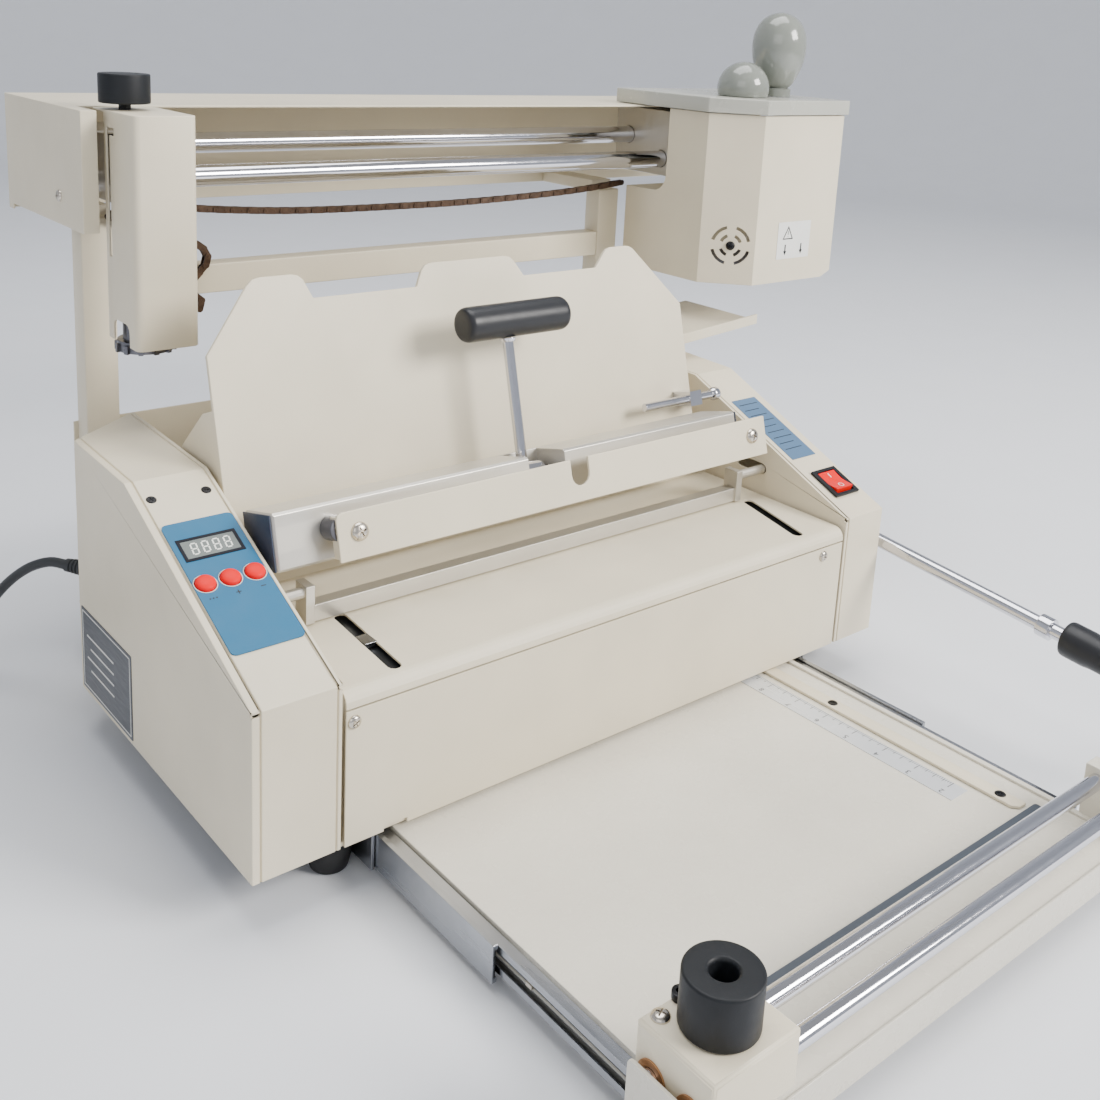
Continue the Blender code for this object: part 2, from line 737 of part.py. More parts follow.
def make_milling_head(machine):
    block_x = (-225, -190)
    block = box("milling_carriage", machine, block_x, (306, 395), (328, 374))
    join(block, box("milling_tongue", machine, block_x, (262, 308), (328, 340)))
    cut(block, *rod_bores("milling", machine, block_x))
    paint(block, STEEL, 0.35, 1.0)

    outline = [(-229, 318)] + arc((-224, 252), 5, 180, 270, 4)
    outline += arc((-190.5, 252), 5, 270, 360, 4) + [(-185.5, 318)]
    inner = [(-227.5, 330)] + arc((-224, 252), 3.5, 180, 270, 3)
    inner += arc((-190.5, 252), 3.5, 270, 360, 3) + [(-187, 330)]
    cover = flat("milling_cover", machine, "Z", outline, 235, 391)
    cut(
        cover,
        flat("cover_inside", machine, "Z", inner, 225, 389.5),
        box("cover_rear", machine, (-235, -180), (299, 330), (225, 389.5)),
        flat("cover_slot", machine, "X", cover_slot(), -235, -220),
        flat("cover_arch", machine, "X", cover_arch(), -235, -220),
        rod("knob_hole", machine, (-214, 299, 385), (-214, 299, 395), 4.6),
    )
    paint(cover, CREAM, 0.45)

    x, y = CUTTER_AXIS
    motor_profile = [(0, 327.7), (15, 327.7), (16.5, 326), (16.5, 268), (14, 262)]
    motor_profile += [(5.5, 262), (5.5, 270), (0, 270)]
    motor = turned("milling_motor", machine, (x, y, 0), (0, 0, 1), motor_profile)
    paint(motor, (0.2, 0.2, 0.21), 0.4, 0.8)

    knob_profile = [(0, 415), (15.5, 415), (17, 413.5), (17, 395), (4, 395)]
    knob_profile += [(4, 340.3), (0, 340.3)]
    knob = turned("milling_knob", machine, (-214, 299, 0), (0, 0, 1), knob_profile)
    paint(knob, BLACK, 0.55)
    make_cutter(machine, x, y)


def cover_slot():
    """The long slot with a short leg at its top, in the cover's left face."""
    return [(289, 293), (294, 293), (294, 380), (281, 380), (281, 375), (289, 375)]


def cover_arch():
    return [(262, 230), (290, 230)] + arc((284, 244), 6, 0, 90, 3) + arc(
        (268, 244), 6, 90, 180, 3
    )


def make_cutter(machine, x, y):
    profile = [(0, 269.7), (5, 269.7), (5, 248), (15, 248), (15, 234.5), (19, 234.5)]
    profile += [(21, 232.5), (21, 228.5), (19, 226.5), (0, 226.5)]
    cutter = turned("milling_cutter", machine, (x, y, 0), (0, 0, 1), profile, 28)
    paint(cutter, (0.25, 0.25, 0.27), 0.35, 1.0)


# ---------------------------------------------------------------- the glue tank


def make_tank_carriage(machine):
    block_x = (322, 428)
    block = box("tank_carriage", machine, block_x, (314, 395), (324, 386))
    cut(block, *rod_bores("tank", machine, block_x))
    paint(block, STEEL, 0.35, 1.0)


def tank_plan(inset):
    left, right = TANK_LEFT + inset, TANK_RIGHT - inset
    front = TANK_FRONT + inset
    shift = inset * math.tan(math.radians(22.5))
    return [
        (left, TANK_BACK - inset),
        (left, 247 + shift),
        (334 + shift, front),
        (right, front),
        (right, TANK_BACK - inset),
    ]


def make_tank_housing(machine):
    shell = flat("tank_housing", machine, "Z", tank_plan(0), TANK_BOTTOM, TANK_TOP)
    hollow = flat("tank_hollow", machine, "Z", tank_plan(SHEET), 220, 400)
    notch = [(360, 313), (360, 400), (297, 400)]
    notch += arc((313, 329), 16, 180, 270, 5)
    corner = [(432, 230), (432, 235.9), (446, 242), (446, 230)]
    cut(
        shell,
        hollow,
        flat("tank_notch", machine, "X", notch, 290, 450),
        flat("tank_corner", machine, "Y", corner, 205, 225),
        *vent_cutters(machine),
    )
    paint(shell, CREAM, 0.45)


def vent_cutters(machine):
    """Two rings of curved slots in the sloping front corner."""
    middle = Vector(((TANK_LEFT + 334) / 2 + 2, (247 + TANK_FRONT) / 2 - 2, 272))
    facing = empty("vent_axis", machine, middle)
    facing["base"] = (0.0, 0.0, 0.0)
    facing.rotation_euler.z = math.radians(-45)
    tools = []
    for radius, spread in ((9.3, 24), (17.0, 30)):
        for quarter in range(4):
            mid = 45 + 90 * quarter
            outline = arc((0, 0), radius + 1.5, mid - spread, mid + spread, 4)
            outline += arc((0, 0), radius - 1.5, mid + spread, mid - spread, 4)
            name = f"vent_{radius:.0f}_{quarter}"
            tools.append(flat(name, facing, "Y", outline, -6, 6))
    return tools


def make_pot(machine):
    pot = box("glue_pot", machine, (338, 438), (226, 312), (266, 345))
    cut(pot, box("pot_inside", machine, (341, 435), (229, 309), (270, 360)))
    for name, y in (("front", (250, 256)), ("rear", (302, 308))):
        lug = box(f"pot_lug_{name}", machine, (376, 394), y, (238, 268))
        join(pot, lug)
    cut(pot, rod("roller_hole", machine, (385, 245, 245), (385, 315, 245), 4.4))
    cut(pot, box("pot_rear_relief", machine, (330, 345), (300, 320), (324, 360)))
    paint(pot, (0.35, 0.35, 0.36), 0.4, 1.0)

    profile = [(0, 26.8), (4, 26.8), (4, 22.4), (17, 22.4), (17, -22.4)]
    profile += [(4, -22.4), (4, -27.8), (0, -27.8)]
    roller = turned("glue_roller", machine, (385, 279, 245), (0, 1, 0), profile)
    paint(roller, STEEL, 0.3, 1.0)


def make_lid(machine):
    lift = empty("lid_lift", machine, (372, 290, 391.6))
    plan = [(295, 246), (333, 208), (448, 208), (448, 369), (295, 369)]
    lid = flat("tank_lid", lift, "Z", plan, 391.6, 405)
    inner = [(297, 247), (334, 210), (446, 210), (446, 367), (297, 367)]
    cut(lid, flat("lid_inside", lift, "Z", inner, 385, 403))
    paint(lid, PALE_GREY, 0.2)

    turns = [math.radians(12 * step) for step in range(10)]
    ball = [(24 * math.sin(turn), 24 * math.cos(turn)) for turn in turns]
    low = ball[-1][1]
    place = (352, 258, 405 + GAP - low)
    knob = turned("lid_knob", lift, place, (0, 0, 1), [*ball, (0, low)])
    paint(knob, PALE_GREY, 0.15)

    egg = [(0, 483), (10, 481), (18.5, 474.5), (24, 464), (25.6, 452), (24.4, 440)]
    egg += [(20.5, 427), (15.5, 417.5), (11, 413.3), (14.4, 412.5), (14.4, 405.3), (0, 405.3)]
    handle = turned("push_handle", lift, (402, 262, 0), (0, 0, 1), egg)
    paint(handle, PALE_GREY, 0.15)


# ------------------------------------------------------------ the creasing tray


def make_tray(machine):
    """A folded sheet pan, open below and at the back, with the runners on its sides."""
    y, inner = (TRAY_FRONT, TRAY_BACK), TRAY_HALF - SHEET
    tray = box("creasing_tray", machine, (-TRAY_HALF, TRAY_HALF), y, (-22, TRAY_TOP))
    inside_y = (TRAY_FRONT + SHEET, TRAY_BACK + 9)
    below = (-30, TRAY_TOP - SHEET)
    cut(tray, box("tray_inside", machine, (-inner, inner), inside_y, below))
    lip_x, lip_y = (-TRAY_HALF + 0.2, TRAY_HALF - 0.2), (TRAY_FRONT + 0.2, TRAY_FRONT + 3)
    join(tray, box("front_lip", machine, lip_x, lip_y, (-4, TRAY_TOP + 1.5)))
    join(tray, box("right_rim", machine, (173.5, 177.7), (-256, 9.5), (-4, -1.2)))
    for name, side in (("left", -1), ("right", 1)):
        runner = sorted((side * (TRAY_HALF - 0.5), side * 185.7))
        join(tray, box(f"{name}_runner", machine, runner, (-215, 9.5), (-19, -9)))
    join_brackets(tray, machine)
    paint(tray, (0.5, 0.49, 0.46), 0.4)


def join_brackets(tray, machine):
    """End brackets that hold the creasing head's two rods."""
    left = box("left_bracket", machine, (-208.5, -206.5), (-275, -230), (-7, 31))
    foot = box("left_bracket_foot", machine, (-208, -170), (-262, -232), (-6, -3.6))
    right = box("right_bracket", machine, (176.9, 190), (-272, -231), (-20, 33))
    join(tray, left, foot, right)


def make_tray_fittings(machine):
    fence = [(146, TRAY_BACK - 1), (157, TRAY_BACK - 1), (157, -207), (150, -207)]
    fence += [(146, -203)]
    paint(
        flat("tray_fence", machine, "Z", fence, TRAY_TOP + GAP, -0.7), CREAM, 0.45
    )
    for name, y in zip(("rear", "front"), CREASE_RODS):
        start, end = (-206.2, y, CREASE_ROD_Z), (176.6, y, CREASE_ROD_Z)
        bar = rod(f"crease_rod_{name}", machine, start, end, 5.0, 20)
        paint(bar, STEEL, 0.08, 1.0)


def make_middle_slides(machine):
    for name, side in (("left", -1), ("right", 1)):
        x = sorted((side * 186.2, side * 189.5))
        slide = box(f"{name}_middle_slide", machine, x, (-110, 120), (-26, -3))
        paint(slide, STEEL, 0.35, 1.0)


def make_crease_head(machine):
    x, y = (-203, -148), (-275, -228)
    block = soften(box("crease_block", machine, x, y, (16, 47)), 1.5)
    cut(block, box("wheel_pocket", machine, (-190, -162), (-258.0, -245.2), (0, 21.5)))
    for name, cheek in (("front", (-262.2, -257.8)), ("rear", (-245.4, -241))):
        join(block, box(f"crease_cheek_{name}", machine, (-186, -166), cheek, (3, 19)))
    for name, y_rod in zip(("rear", "front"), CREASE_RODS):
        start, end = (-210, y_rod, CREASE_ROD_Z), (-140, y_rod, CREASE_ROD_Z)
        cut(block, rod(f"crease_bore_{name}", machine, start, end, 5.4, 20))
    x, y, z = WHEEL
    cut(block, rod("wheel_hole", machine, (x, -266, z), (x, -238, z), 2.8, 12))
    cut(block, rod("knob_stem_hole", machine, (x, y, 35), (x, y, 52), 4.4))
    paint(block, CREAM, 0.45)

    # The knob has a blind hole in its top and a stem below.
    profile = [(0, 58), (6.5, 58), (6.5, 74), (16.8, 74), (18.5, 72.3)]
    profile += [(18.5, 47.3), (4, 47.3), (4, 38), (0, 38)]
    knob = turned("crease_knob", machine, (x, y, 0), (0, 0, 1), profile)
    paint(knob, BLACK, 0.55)

    rim, edge = WHEEL_RADIUS, WHEEL_RADIUS - 1
    profile = [(0, 10.3), (2.5, 10.3), (2.5, 2.0), (edge, 2.0), (rim, 0.7)]
    profile += [(rim, -0.7), (edge, -2.0), (2.5, -2.0), (2.5, -10.3), (0, -10.3)]
    wheel = turned("crease_wheel", machine, WHEEL, (0, 1, 0), profile)
    paint(wheel, (0.3, 0.3, 0.32), 0.3, 1.0)


# --------------------------------------------------------------- the mains cord


def make_cord(machine):
    out = Vector((-math.sin(REAR_SLANT), math.cos(REAR_SLANT), 0))
    face = Vector((-245.0, 257.0 + 25.0 * math.tan(REAR_SLANT), 72.0))
    profile = [(0, 32), (4.6, 32), (6.4, 12), (8, 11), (8, 4), (11, 4), (11, GAP)]
    gland = turned("cord_gland", machine, face, out, [*profile, (0, GAP)], 20)
    paint(gland, BLACK, 0.6)
    route = smooth_route(CORD_ROUTE, 2.5 * 2 * CORD_RADIUS)
    paint(tube("mains_cord", machine, route, CORD_RADIUS), BLACK, 0.6)
    make_coil_and_plug(machine)


def make_coil_and_plug(machine):
    heading = (Vector(CORD_ROUTE[-1]) - Vector(CORD_ROUTE[-2])).to_2d().normalized()
    left = Vector((-heading.y, heading.x))
    outer_turn = COIL_RADIUS + CORD_RADIUS
    lead = 27.3  # from the cord's end to the coil's middle, along the cord
    middle = Vector(CORD_ROUTE[-1]).to_2d() + left * outer_turn + heading * lead
    r1, r2 = COIL_RADIUS - 2 * CORD_RADIUS, COIL_RADIUS + 2 * CORD_RADIUS
    low, high = FLOOR, FLOOR + 6 * CORD_RADIUS
    side = 1.4  # the turns leave the coil's corners round
    profile = [(r2, high - side), (r2, low + side), (r2 - side, low), (r1 + side, low)]
    profile += [(r1, low + side), (r1, high - side), (r1 + side, high), (r2 - side, high)]
    coil = ring("cord_coil", machine, (*middle, 0), (0, 0, 1), profile, 36)
    paint(coil, BLACK, 0.6)

    angle = math.radians(200)
    spoke = Vector((math.cos(angle), math.sin(angle)))
    ahead = Vector((-spoke.y, spoke.x))
    tip = middle + spoke * outer_turn + ahead * lead
    make_plug(machine, Vector((*tip, FLOOR + 14.0)), Vector((*ahead, 0)))


def make_plug(machine, tip, ahead):
    axis = empty("plug_axis", machine, tip)
    axis["base"] = (0.0, 0.0, 0.0)
    axis.rotation_euler.z = math.atan2(ahead.y, ahead.x)
    body = soften(box("mains_plug", axis, (20, 58), (-15, 15), (-13.5, 13.5)), 2.0)
    profile = [(0, 24), (8.5, 24), (7.5, 18), (4.6, 0), (0, 0)]
    join(body, turned("plug_relief", axis, (0, 0, 0), (1, 0, 0), profile, 16))
    for number, (y, z) in enumerate(((-6.3, 0), (6.3, 0), (0, 8))):
        blade = box(f"blade_{number}", axis, (56, 75), (y - 1, y + 1), (z - 3, z + 3))
        join(body, blade)
    paint(body, BLACK, 0.5)


def make_binder():
    machine = empty("machine")
    machine.location = Vector((-CENTRE_X, -CENTRE_Y, -FLOOR)) * MM
    slope = empty("slope", machine, (0, 0, NOSE_HEIGHT), math.atan(SLOPE))
    make_base(machine)
    make_housings(machine, slope)
    make_panels(machine)
    make_frame(machine)
    make_hood(machine)
    make_chain(machine)
    make_drip_tray(machine)
    make_outer_slides(machine)
    make_overlay(slope)
    make_buttons(slope)
    make_switch(slope)
    make_lever(machine)
    make_nip(machine)
    make_clamp(machine)
    make_milling_head(machine)
    make_tank_carriage(machine)
    make_tank_housing(machine)
    make_pot(machine)
    make_lid(machine)
    make_tray(machine)
    make_tray_fittings(machine)
    make_middle_slides(machine)
    make_crease_head(machine)
    make_cord(machine)


make_binder()
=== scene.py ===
"""Looks of a desktop hot-melt book binder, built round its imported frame.

Shapes are written in millimetres on the machine's own axes (X right, Y back, Z up,
from the middle of the side housings' lower front edge) and then placed in the
frame's metres. The sloping fronts and the leaning clamp have axes of their own.
"""

import json
from math import atan, atan2, cos, degrees, pi, radians, sin, tan, tau

import bmesh
import bpy
from mathutils import Matrix, Vector


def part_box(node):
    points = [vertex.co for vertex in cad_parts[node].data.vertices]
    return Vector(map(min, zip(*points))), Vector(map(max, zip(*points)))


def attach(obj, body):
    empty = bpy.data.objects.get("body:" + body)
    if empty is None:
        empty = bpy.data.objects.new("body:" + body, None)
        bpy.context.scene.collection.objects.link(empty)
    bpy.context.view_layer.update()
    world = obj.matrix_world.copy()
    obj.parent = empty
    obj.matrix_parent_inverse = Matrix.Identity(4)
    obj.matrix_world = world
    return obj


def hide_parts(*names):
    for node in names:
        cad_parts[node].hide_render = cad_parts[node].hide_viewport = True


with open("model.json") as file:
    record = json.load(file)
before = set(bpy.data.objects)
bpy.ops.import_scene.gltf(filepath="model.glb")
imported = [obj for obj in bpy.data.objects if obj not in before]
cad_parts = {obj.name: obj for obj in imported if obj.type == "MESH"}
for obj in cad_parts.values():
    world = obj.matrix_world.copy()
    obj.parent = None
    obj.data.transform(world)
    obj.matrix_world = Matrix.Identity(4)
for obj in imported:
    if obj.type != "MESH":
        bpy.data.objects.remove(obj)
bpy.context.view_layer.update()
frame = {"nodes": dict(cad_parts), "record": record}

MM = 0.001
ORIGIN = Vector((-96.0, -87.5, 31.0))  # the machine's zero point in the frame, in millimetres
FLOOR = -31.0
NOSE_HEIGHT = 103.0
SLOPE_ANGLE = atan(73.0 / 171.0)
LEAN = radians(15.0)

MACHINE = Matrix.Scale(MM, 4) @ Matrix.Translation(ORIGIN)
SLOPE = MACHINE @ Matrix.Translation((0, 0, NOSE_HEIGHT)) @ Matrix.Rotation(SLOPE_ANGLE, 4, "X")
CLAMP = MACHINE @ Matrix.Translation((0, 130, 160)) @ Matrix.Rotation(-LEAN, 4, "X")

RECORD = frame["record"]
BODY = {node: body for body, nodes in RECORD["behaviour"]["bodies"].items() for node in nodes}
NODE_SLOT = {entry["node"]: entry["material_slot"] for entry in RECORD["subparts"]}


def link(obj):
    bpy.context.scene.collection.objects.link(obj)


def spin(angle, axis):
    """A turn by so many degrees about an axis."""
    return Matrix.Rotation(radians(angle), 4, axis)


def shift(point):
    """A move without a turn."""
    return Matrix.Translation(point)


# ---- the camera

CAMERA_AT = Vector((-540.6, -551.8, 462.7))  # millimetres on the machine's axes
CAMERA_TURN = (76.95, -2.935, -39.55)  # degrees about X, Y and Z
LENS = 41.5
SHIFT = (-0.009, -0.212)


def make_camera():
    data = bpy.data.cameras.new("camera")
    data.lens = LENS
    data.sensor_width = 36.0
    data.shift_x, data.shift_y = SHIFT
    data.clip_start, data.clip_end = 0.02, 50.0
    camera = bpy.data.objects.new("camera", data)
    camera.location = MACHINE @ CAMERA_AT
    camera.rotation_euler = [radians(angle) for angle in CAMERA_TURN]
    link(camera)
    bpy.context.scene.camera = camera


# ---- the materials


def linear(red, green, blue):
    """A screen colour, from 0 to 1, as the shader's own."""
    return [((c + 0.055) / 1.055) ** 2.4 if c > 0.04045 else c / 12.92 for c in (red, green, blue)]


def set_inputs(node, **inputs):
    for name, value in inputs.items():
        node.inputs[name.replace("_", " ")].default_value = value
    return node


def add(tree, kind, **inputs):
    return set_inputs(tree.nodes.new(kind), **inputs)


def noise(tree, where, size, detail=3.0, roughness=0.55):
    node = add(tree, "ShaderNodeTexNoise", Scale=1.0 / size, Detail=detail, Roughness=roughness)
    tree.links.new(where, node.inputs["Vector"])
    return node.outputs["Fac"]


def remap(tree, value, low, high, start=0.3, end=0.7):
    node = add(tree, "ShaderNodeMapRange", From_Min=start, From_Max=end, To_Min=low, To_Max=high)
    tree.links.new(value, node.inputs["Value"])
    return node.outputs["Result"]


def blend_colours(tree, factor, first, second):
    node = tree.nodes.new("ShaderNodeMix")
    node.data_type = "RGBA"
    tree.links.new(factor, next(s for s in node.inputs if s.name == "Factor" and s.type == "VALUE"))
    colours = [s for s in node.inputs if s.type == "RGBA"]
    colours[0].default_value = (*first, 1.0)
    colours[1].default_value = (*second, 1.0)
    return next(s for s in node.outputs if s.type == "RGBA")


def surface(
    name, colour, roughness, metallic=0.0, drift=0.05, drift_size=0.09, uneven=0.05, grain=0.06,
    grain_size=0.0011, stretch=(1.0, 1.0, 1.0), coat=0.0, ripple=0.0, specular=0.5,
):
    """A finish: its colour drifts, its gloss is uneven, and a fine grain breaks the surface."""
    material = bpy.data.materials.new(name)
    material.use_nodes = True
    tree = material.node_tree
    shader = tree.nodes["Principled BSDF"]
    set_inputs(shader, Metallic=metallic, Coat_Weight=coat, Coat_Roughness=0.08)
    set_inputs(shader, Specular_IOR_Level=specular)
    place = tree.nodes.new("ShaderNodeTexCoord").outputs["Object"]
    mapping = add(tree, "ShaderNodeMapping", Scale=stretch)
    tree.links.new(place, mapping.inputs["Vector"])
    stretched = mapping.outputs["Vector"]

    base = linear(*colour)
    darker = [c * (1.0 - drift) for c in base]
    lighter = [min(c * (1.0 + drift), 1.0) for c in base]
    cloud = remap(tree, noise(tree, place, drift_size), 0.0, 1.0)
    tint = blend_colours(tree, cloud, darker, lighter)
    tree.links.new(tint, shader.inputs["Base Color"])

    patch = noise(tree, stretched, grain_size * 14, 4.0)
    gloss = remap(tree, patch, max(roughness - uneven, 0.02), roughness + uneven)
    tree.links.new(gloss, shader.inputs["Roughness"])

    height = noise(tree, stretched, grain_size, 2.0)
    bump = add(tree, "ShaderNodeBump", Strength=grain, Distance=0.0004)
    tree.links.new(height, bump.inputs["Height"])
    if ripple:
        wave = noise(tree, place, 0.05, 1.0)
        broad = add(tree, "ShaderNodeBump", Strength=ripple, Distance=0.002)
        tree.links.new(wave, broad.inputs["Height"])
        tree.links.new(broad.outputs["Normal"], bump.inputs["Normal"])
    tree.links.new(bump.outputs["Normal"], shader.inputs["Normal"])
    return material


def make_looks():
    """The record's slots, and the finishes of the small trim that has none."""
    looks = {}

    def look(name, *values, **more):
        looks[name] = surface(name, *values, **more)

    look("cream_paint", (0.87, 0.83, 0.735), 0.42, grain=0.10, grain_size=0.0013, ripple=0.04)
    look("tray_sheet", (0.85, 0.83, 0.775), 0.27, grain=0.05, ripple=0.05)
    look("grey_lid", (0.70, 0.70, 0.66), 0.24, grain=0.04, coat=0.2)
    look("grey_gloss", (0.51, 0.525, 0.495), 0.16, grain=0.01, coat=0.6)
    look("chrome", (0.83, 0.83, 0.85), 0.10, 1.0, 0.02, 0.05, 0.03, 0.01, 0.0006)
    look("machined_aluminium", (0.80, 0.785, 0.75), 0.38, 0.75, 0.04, 0.04, 0.08, 0.08, 0.0006, (0.05, 1, 1))
    look("machined_steel", (0.42, 0.42, 0.44), 0.33, 1.0, 0.08, 0.02, 0.08, 0.08, 0.0006, (1, 1, 0.2))
    look("zinc_steel", (0.66, 0.67, 0.69), 0.28, 1.0, 0.06, 0.02, 0.1, 0.05, 0.0012, (1, 0.1, 1))
    look("chain_steel", (0.34, 0.27, 0.22), 0.38, 0.7, 0.3, 0.006, 0.1, 0.1)
    look("black_plastic", (0.09, 0.10, 0.115), 0.48, grain=0.12, grain_size=0.0007, specular=0.3)
    look("black_grip", (0.12, 0.125, 0.14), 0.40, grain=0.08, grain_size=0.0007, specular=0.4)
    look("black_rubber", (0.10, 0.10, 0.105), 0.62, grain=0.15, grain_size=0.001)
    look("cord_rubber", (0.16, 0.17, 0.18), 0.46, grain=0.10, grain_size=0.0016)
    look("blue_panel", (0.12, 0.40, 0.55), 0.46, drift=0.03, grain=0.10, grain_size=0.0008, specular=0.3)
    look("red_button", (0.93, 0.02, 0.07), 0.46, drift=0.04, grain=0.03, specular=0.15)
    look("red_rocker", (0.90, 0.05, 0.02), 0.24, drift=0.05, grain=0.01, coat=0.3, specular=0.25)
    look("nickel", (0.80, 0.77, 0.72), 0.24, 1.0, 0.06, 0.006, 0.08, 0.02)
    look("black_oxide", (0.10, 0.10, 0.11), 0.35, 0.6, 0.1, 0.006, 0.08, 0.04)
    look("slate_rubber", (0.27, 0.30, 0.34), 0.55, grain=0.12)
    look("display_glass", (0.40, 0.43, 0.42), 0.25, drift=0.04, grain=0.01, specular=0.3)
    look("display_frame", (0.05, 0.06, 0.11), 0.45, grain=0.04, specular=0.15)
    look("display_segment", (0.93, 0.94, 0.91), 0.4, grain=0.01)
    look("label_white", (0.90, 0.90, 0.88), 0.42, grain=0.03)
    look("label_blue", (0.31, 0.43, 0.55), 0.42, grain=0.04)
    look("label_dark", (0.32, 0.33, 0.35), 0.36, 0.4, 0.06, 0.02, 0.06, 0.06, 0.001, (1, 1, 8))
    look("ruler_metal", (0.84, 0.85, 0.86), 0.30, 0.25, 0.04, 0.02, 0.06, 0.05, 0.0008, (1, 0.1, 1))
    look("print_black", (0.09, 0.09, 0.10), 0.5, grain=0.02)
    look("print_pale", (0.86, 0.86, 0.84), 0.5, grain=0.02)
    look("copper", (0.74, 0.56, 0.41), 0.35, 0.8, 0.1, 0.006, 0.08, 0.05)
    # a dark navy that paints the shade and blue reflection on the jaw's end faces
    look("navy_painted_shade", (0.19, 0.22, 0.29), 0.42, grain=0.08, grain_size=0.0008)
    return looks


# ---- the shapes


def outward(shape):
    """The same shape with its faces turned outwards."""
    bmesh.ops.recalc_face_normals(shape, faces=shape.faces)
    return shape


def block(x, y, z):
    """A block between two limits on each axis."""
    shape = bmesh.new()
    middle = Vector((sum(x) / 2, sum(y) / 2, sum(z) / 2))
    size = (x[1] - x[0], y[1] - y[0], z[1] - z[0], 1.0)
    bmesh.ops.create_cube(shape, size=1.0, matrix=shift(middle) @ Matrix.Diagonal(size))
    return shape


def towards_matrix(at, towards):
    turn = Vector((0, 0, 1)).rotation_difference(Vector(towards))
    return shift(at) @ turn.to_matrix().to_4x4()


def lathe(profile, at=(0, 0, 0), towards=(0, 0, 1), steps=56):
    """A profile of (radius, height) turned about an axis. It is closed if it ends on the axis."""
    shape = bmesh.new()
    place = towards_matrix(at, towards)
    rings = []
    for radius, height in profile:
        count = 1 if radius < 1e-6 else steps
        angles = [tau * i / steps for i in range(count)]
        points = [(radius * cos(a), radius * sin(a), height) for a in angles]
        rings.append([shape.verts.new(place @ Vector(point)) for point in points])
    for upper, lower in zip(rings, rings[1:]):
        for i in range(steps):
            j = (i + 1) % steps
            a, b = i % len(upper), i % len(lower)
            c, d = j % len(lower), j % len(upper)
            distinct = list(dict.fromkeys([upper[a], lower[b], lower[c], upper[d]]))
            if len(distinct) > 2:
                shape.faces.new(distinct)
    return outward(shape)


def bar(start, end, radius, chamfer=0.6, steps=40):
    """A round bar with small chamfers."""
    start, end = Vector(start), Vector(end)
    long = (end - start).length
    profile = [(0, long), (radius - chamfer, long), (radius, long - chamfer)]
    profile += [(radius, chamfer), (radius - chamfer, 0), (0, 0)]
    return lathe(profile, start, end - start, steps)


def fillet(points, radius, steps=4, closed=False):
    """The same line with its corners rounded, as far as its stretches allow."""
    points = [Vector(p) for p in points]
    count = len(points)
    rounded = []
    for i, corner in enumerate(points):
        if not closed and i in (0, count - 1):
            rounded.append(tuple(corner))
            continue
        before, after = points[i - 1] - corner, points[(i + 1) % count] - corner
        reach = min(radius, 0.45 * before.length, 0.45 * after.length)
        if before.angle(after) > radians(172):
            rounded.append(tuple(corner))
            continue
        first, last = corner + before.normalized() * reach, corner + after.normalized() * reach
        for step in range(steps + 1):
            t = step / steps
            rounded.append(tuple(first * (1 - t) ** 2 + corner * 2 * t * (1 - t) + last * t**2))
    return rounded


def through(points, steps=6):
    """A smooth line through points."""
    knots = [Vector(p) for p in points]
    knots = [2 * knots[0] - knots[1], *knots, 2 * knots[-1] - knots[-2]]
    line = []
    for a, b, c, d in zip(knots, knots[1:], knots[2:], knots[3:]):
        for step in range(steps):
            t = step / steps
            curve = (2 * a - 5 * b + 4 * c - d) * t**2 + (3 * b - a - 3 * c + d) * t**3
            line.append(0.5 * (2 * b + (c - a) * t + curve))
    return [*line, knots[-2]]


def arc(centre, radius, start, end, steps=8):
    """Points round an arc, in degrees."""
    angles = [radians(start + (end - start) * step / steps) for step in range(steps + 1)]
    return [(centre[0] + radius * cos(a), centre[1] + radius * sin(a)) for a in angles]


def band(inner, outer, low, high):
    """The closed profile of a ring."""
    return [(outer, high), (outer, low), (inner, low), (inner, high), (outer, high)]


def rectangle(x, y, corner=0.0, steps=5):
    outline = [(x[0], y[0]), (x[1], y[0]), (x[1], y[1]), (x[0], y[1])]
    return fillet(outline, corner, steps, closed=True) if corner else outline


AXES = {
    "X": Matrix(((0, 0, 1), (1, 0, 0), (0, 1, 0))),
    "Y": Matrix(((1, 0, 0), (0, 0, -1), (0, 1, 0))),
    "Z": Matrix.Identity(3),
}


def evaluated(obj):
    """What an object comes to, as a shape."""
    bpy.context.view_layer.update()
    graph = bpy.context.evaluated_depsgraph_get()
    mesh = bpy.data.meshes.new_from_object(obj.evaluated_get(graph))
    shape = bmesh.new()
    shape.from_mesh(mesh)
    bpy.data.meshes.remove(mesh)
    return shape


def filled(curve):
    """The shape that a curve or a line of text fills. The curve itself is thrown away."""
    holder = bpy.data.objects.new("outline", curve)
    link(holder)
    shape = evaluated(holder)
    bpy.data.objects.remove(holder, do_unlink=True)
    bpy.data.curves.remove(curve)
    bmesh.ops.remove_doubles(shape, verts=shape.verts, dist=0.001)
    return shape


def plate(outline, axis, start, end, holes=()):
    """A flat outline, with any holes, as thick as start to end along an axis."""
    curve = bpy.data.curves.new("outline", "CURVE")
    curve.dimensions = "2D"
    curve.fill_mode = "BOTH"
    curve.extrude = abs(end - start) / 2
    for loop in (outline, *holes):
        spline = curve.splines.new("POLY")
        spline.points.add(len(loop) - 1)
        for point, (a, b) in zip(spline.points, loop):
            point.co = (a, b, 0.0, 1.0)
        spline.use_cyclic_u = True
    shape = filled(curve)
    bmesh.ops.dissolve_limit(shape, angle_limit=radians(0.5), verts=shape.verts, edges=shape.edges)
    middle = (start + end) / 2
    along = {"X": (middle, 0, 0), "Y": (0, middle, 0), "Z": (0, 0, middle)}[axis]
    shape.transform(shift(along) @ AXES[axis].to_4x4())
    return outward(shape)


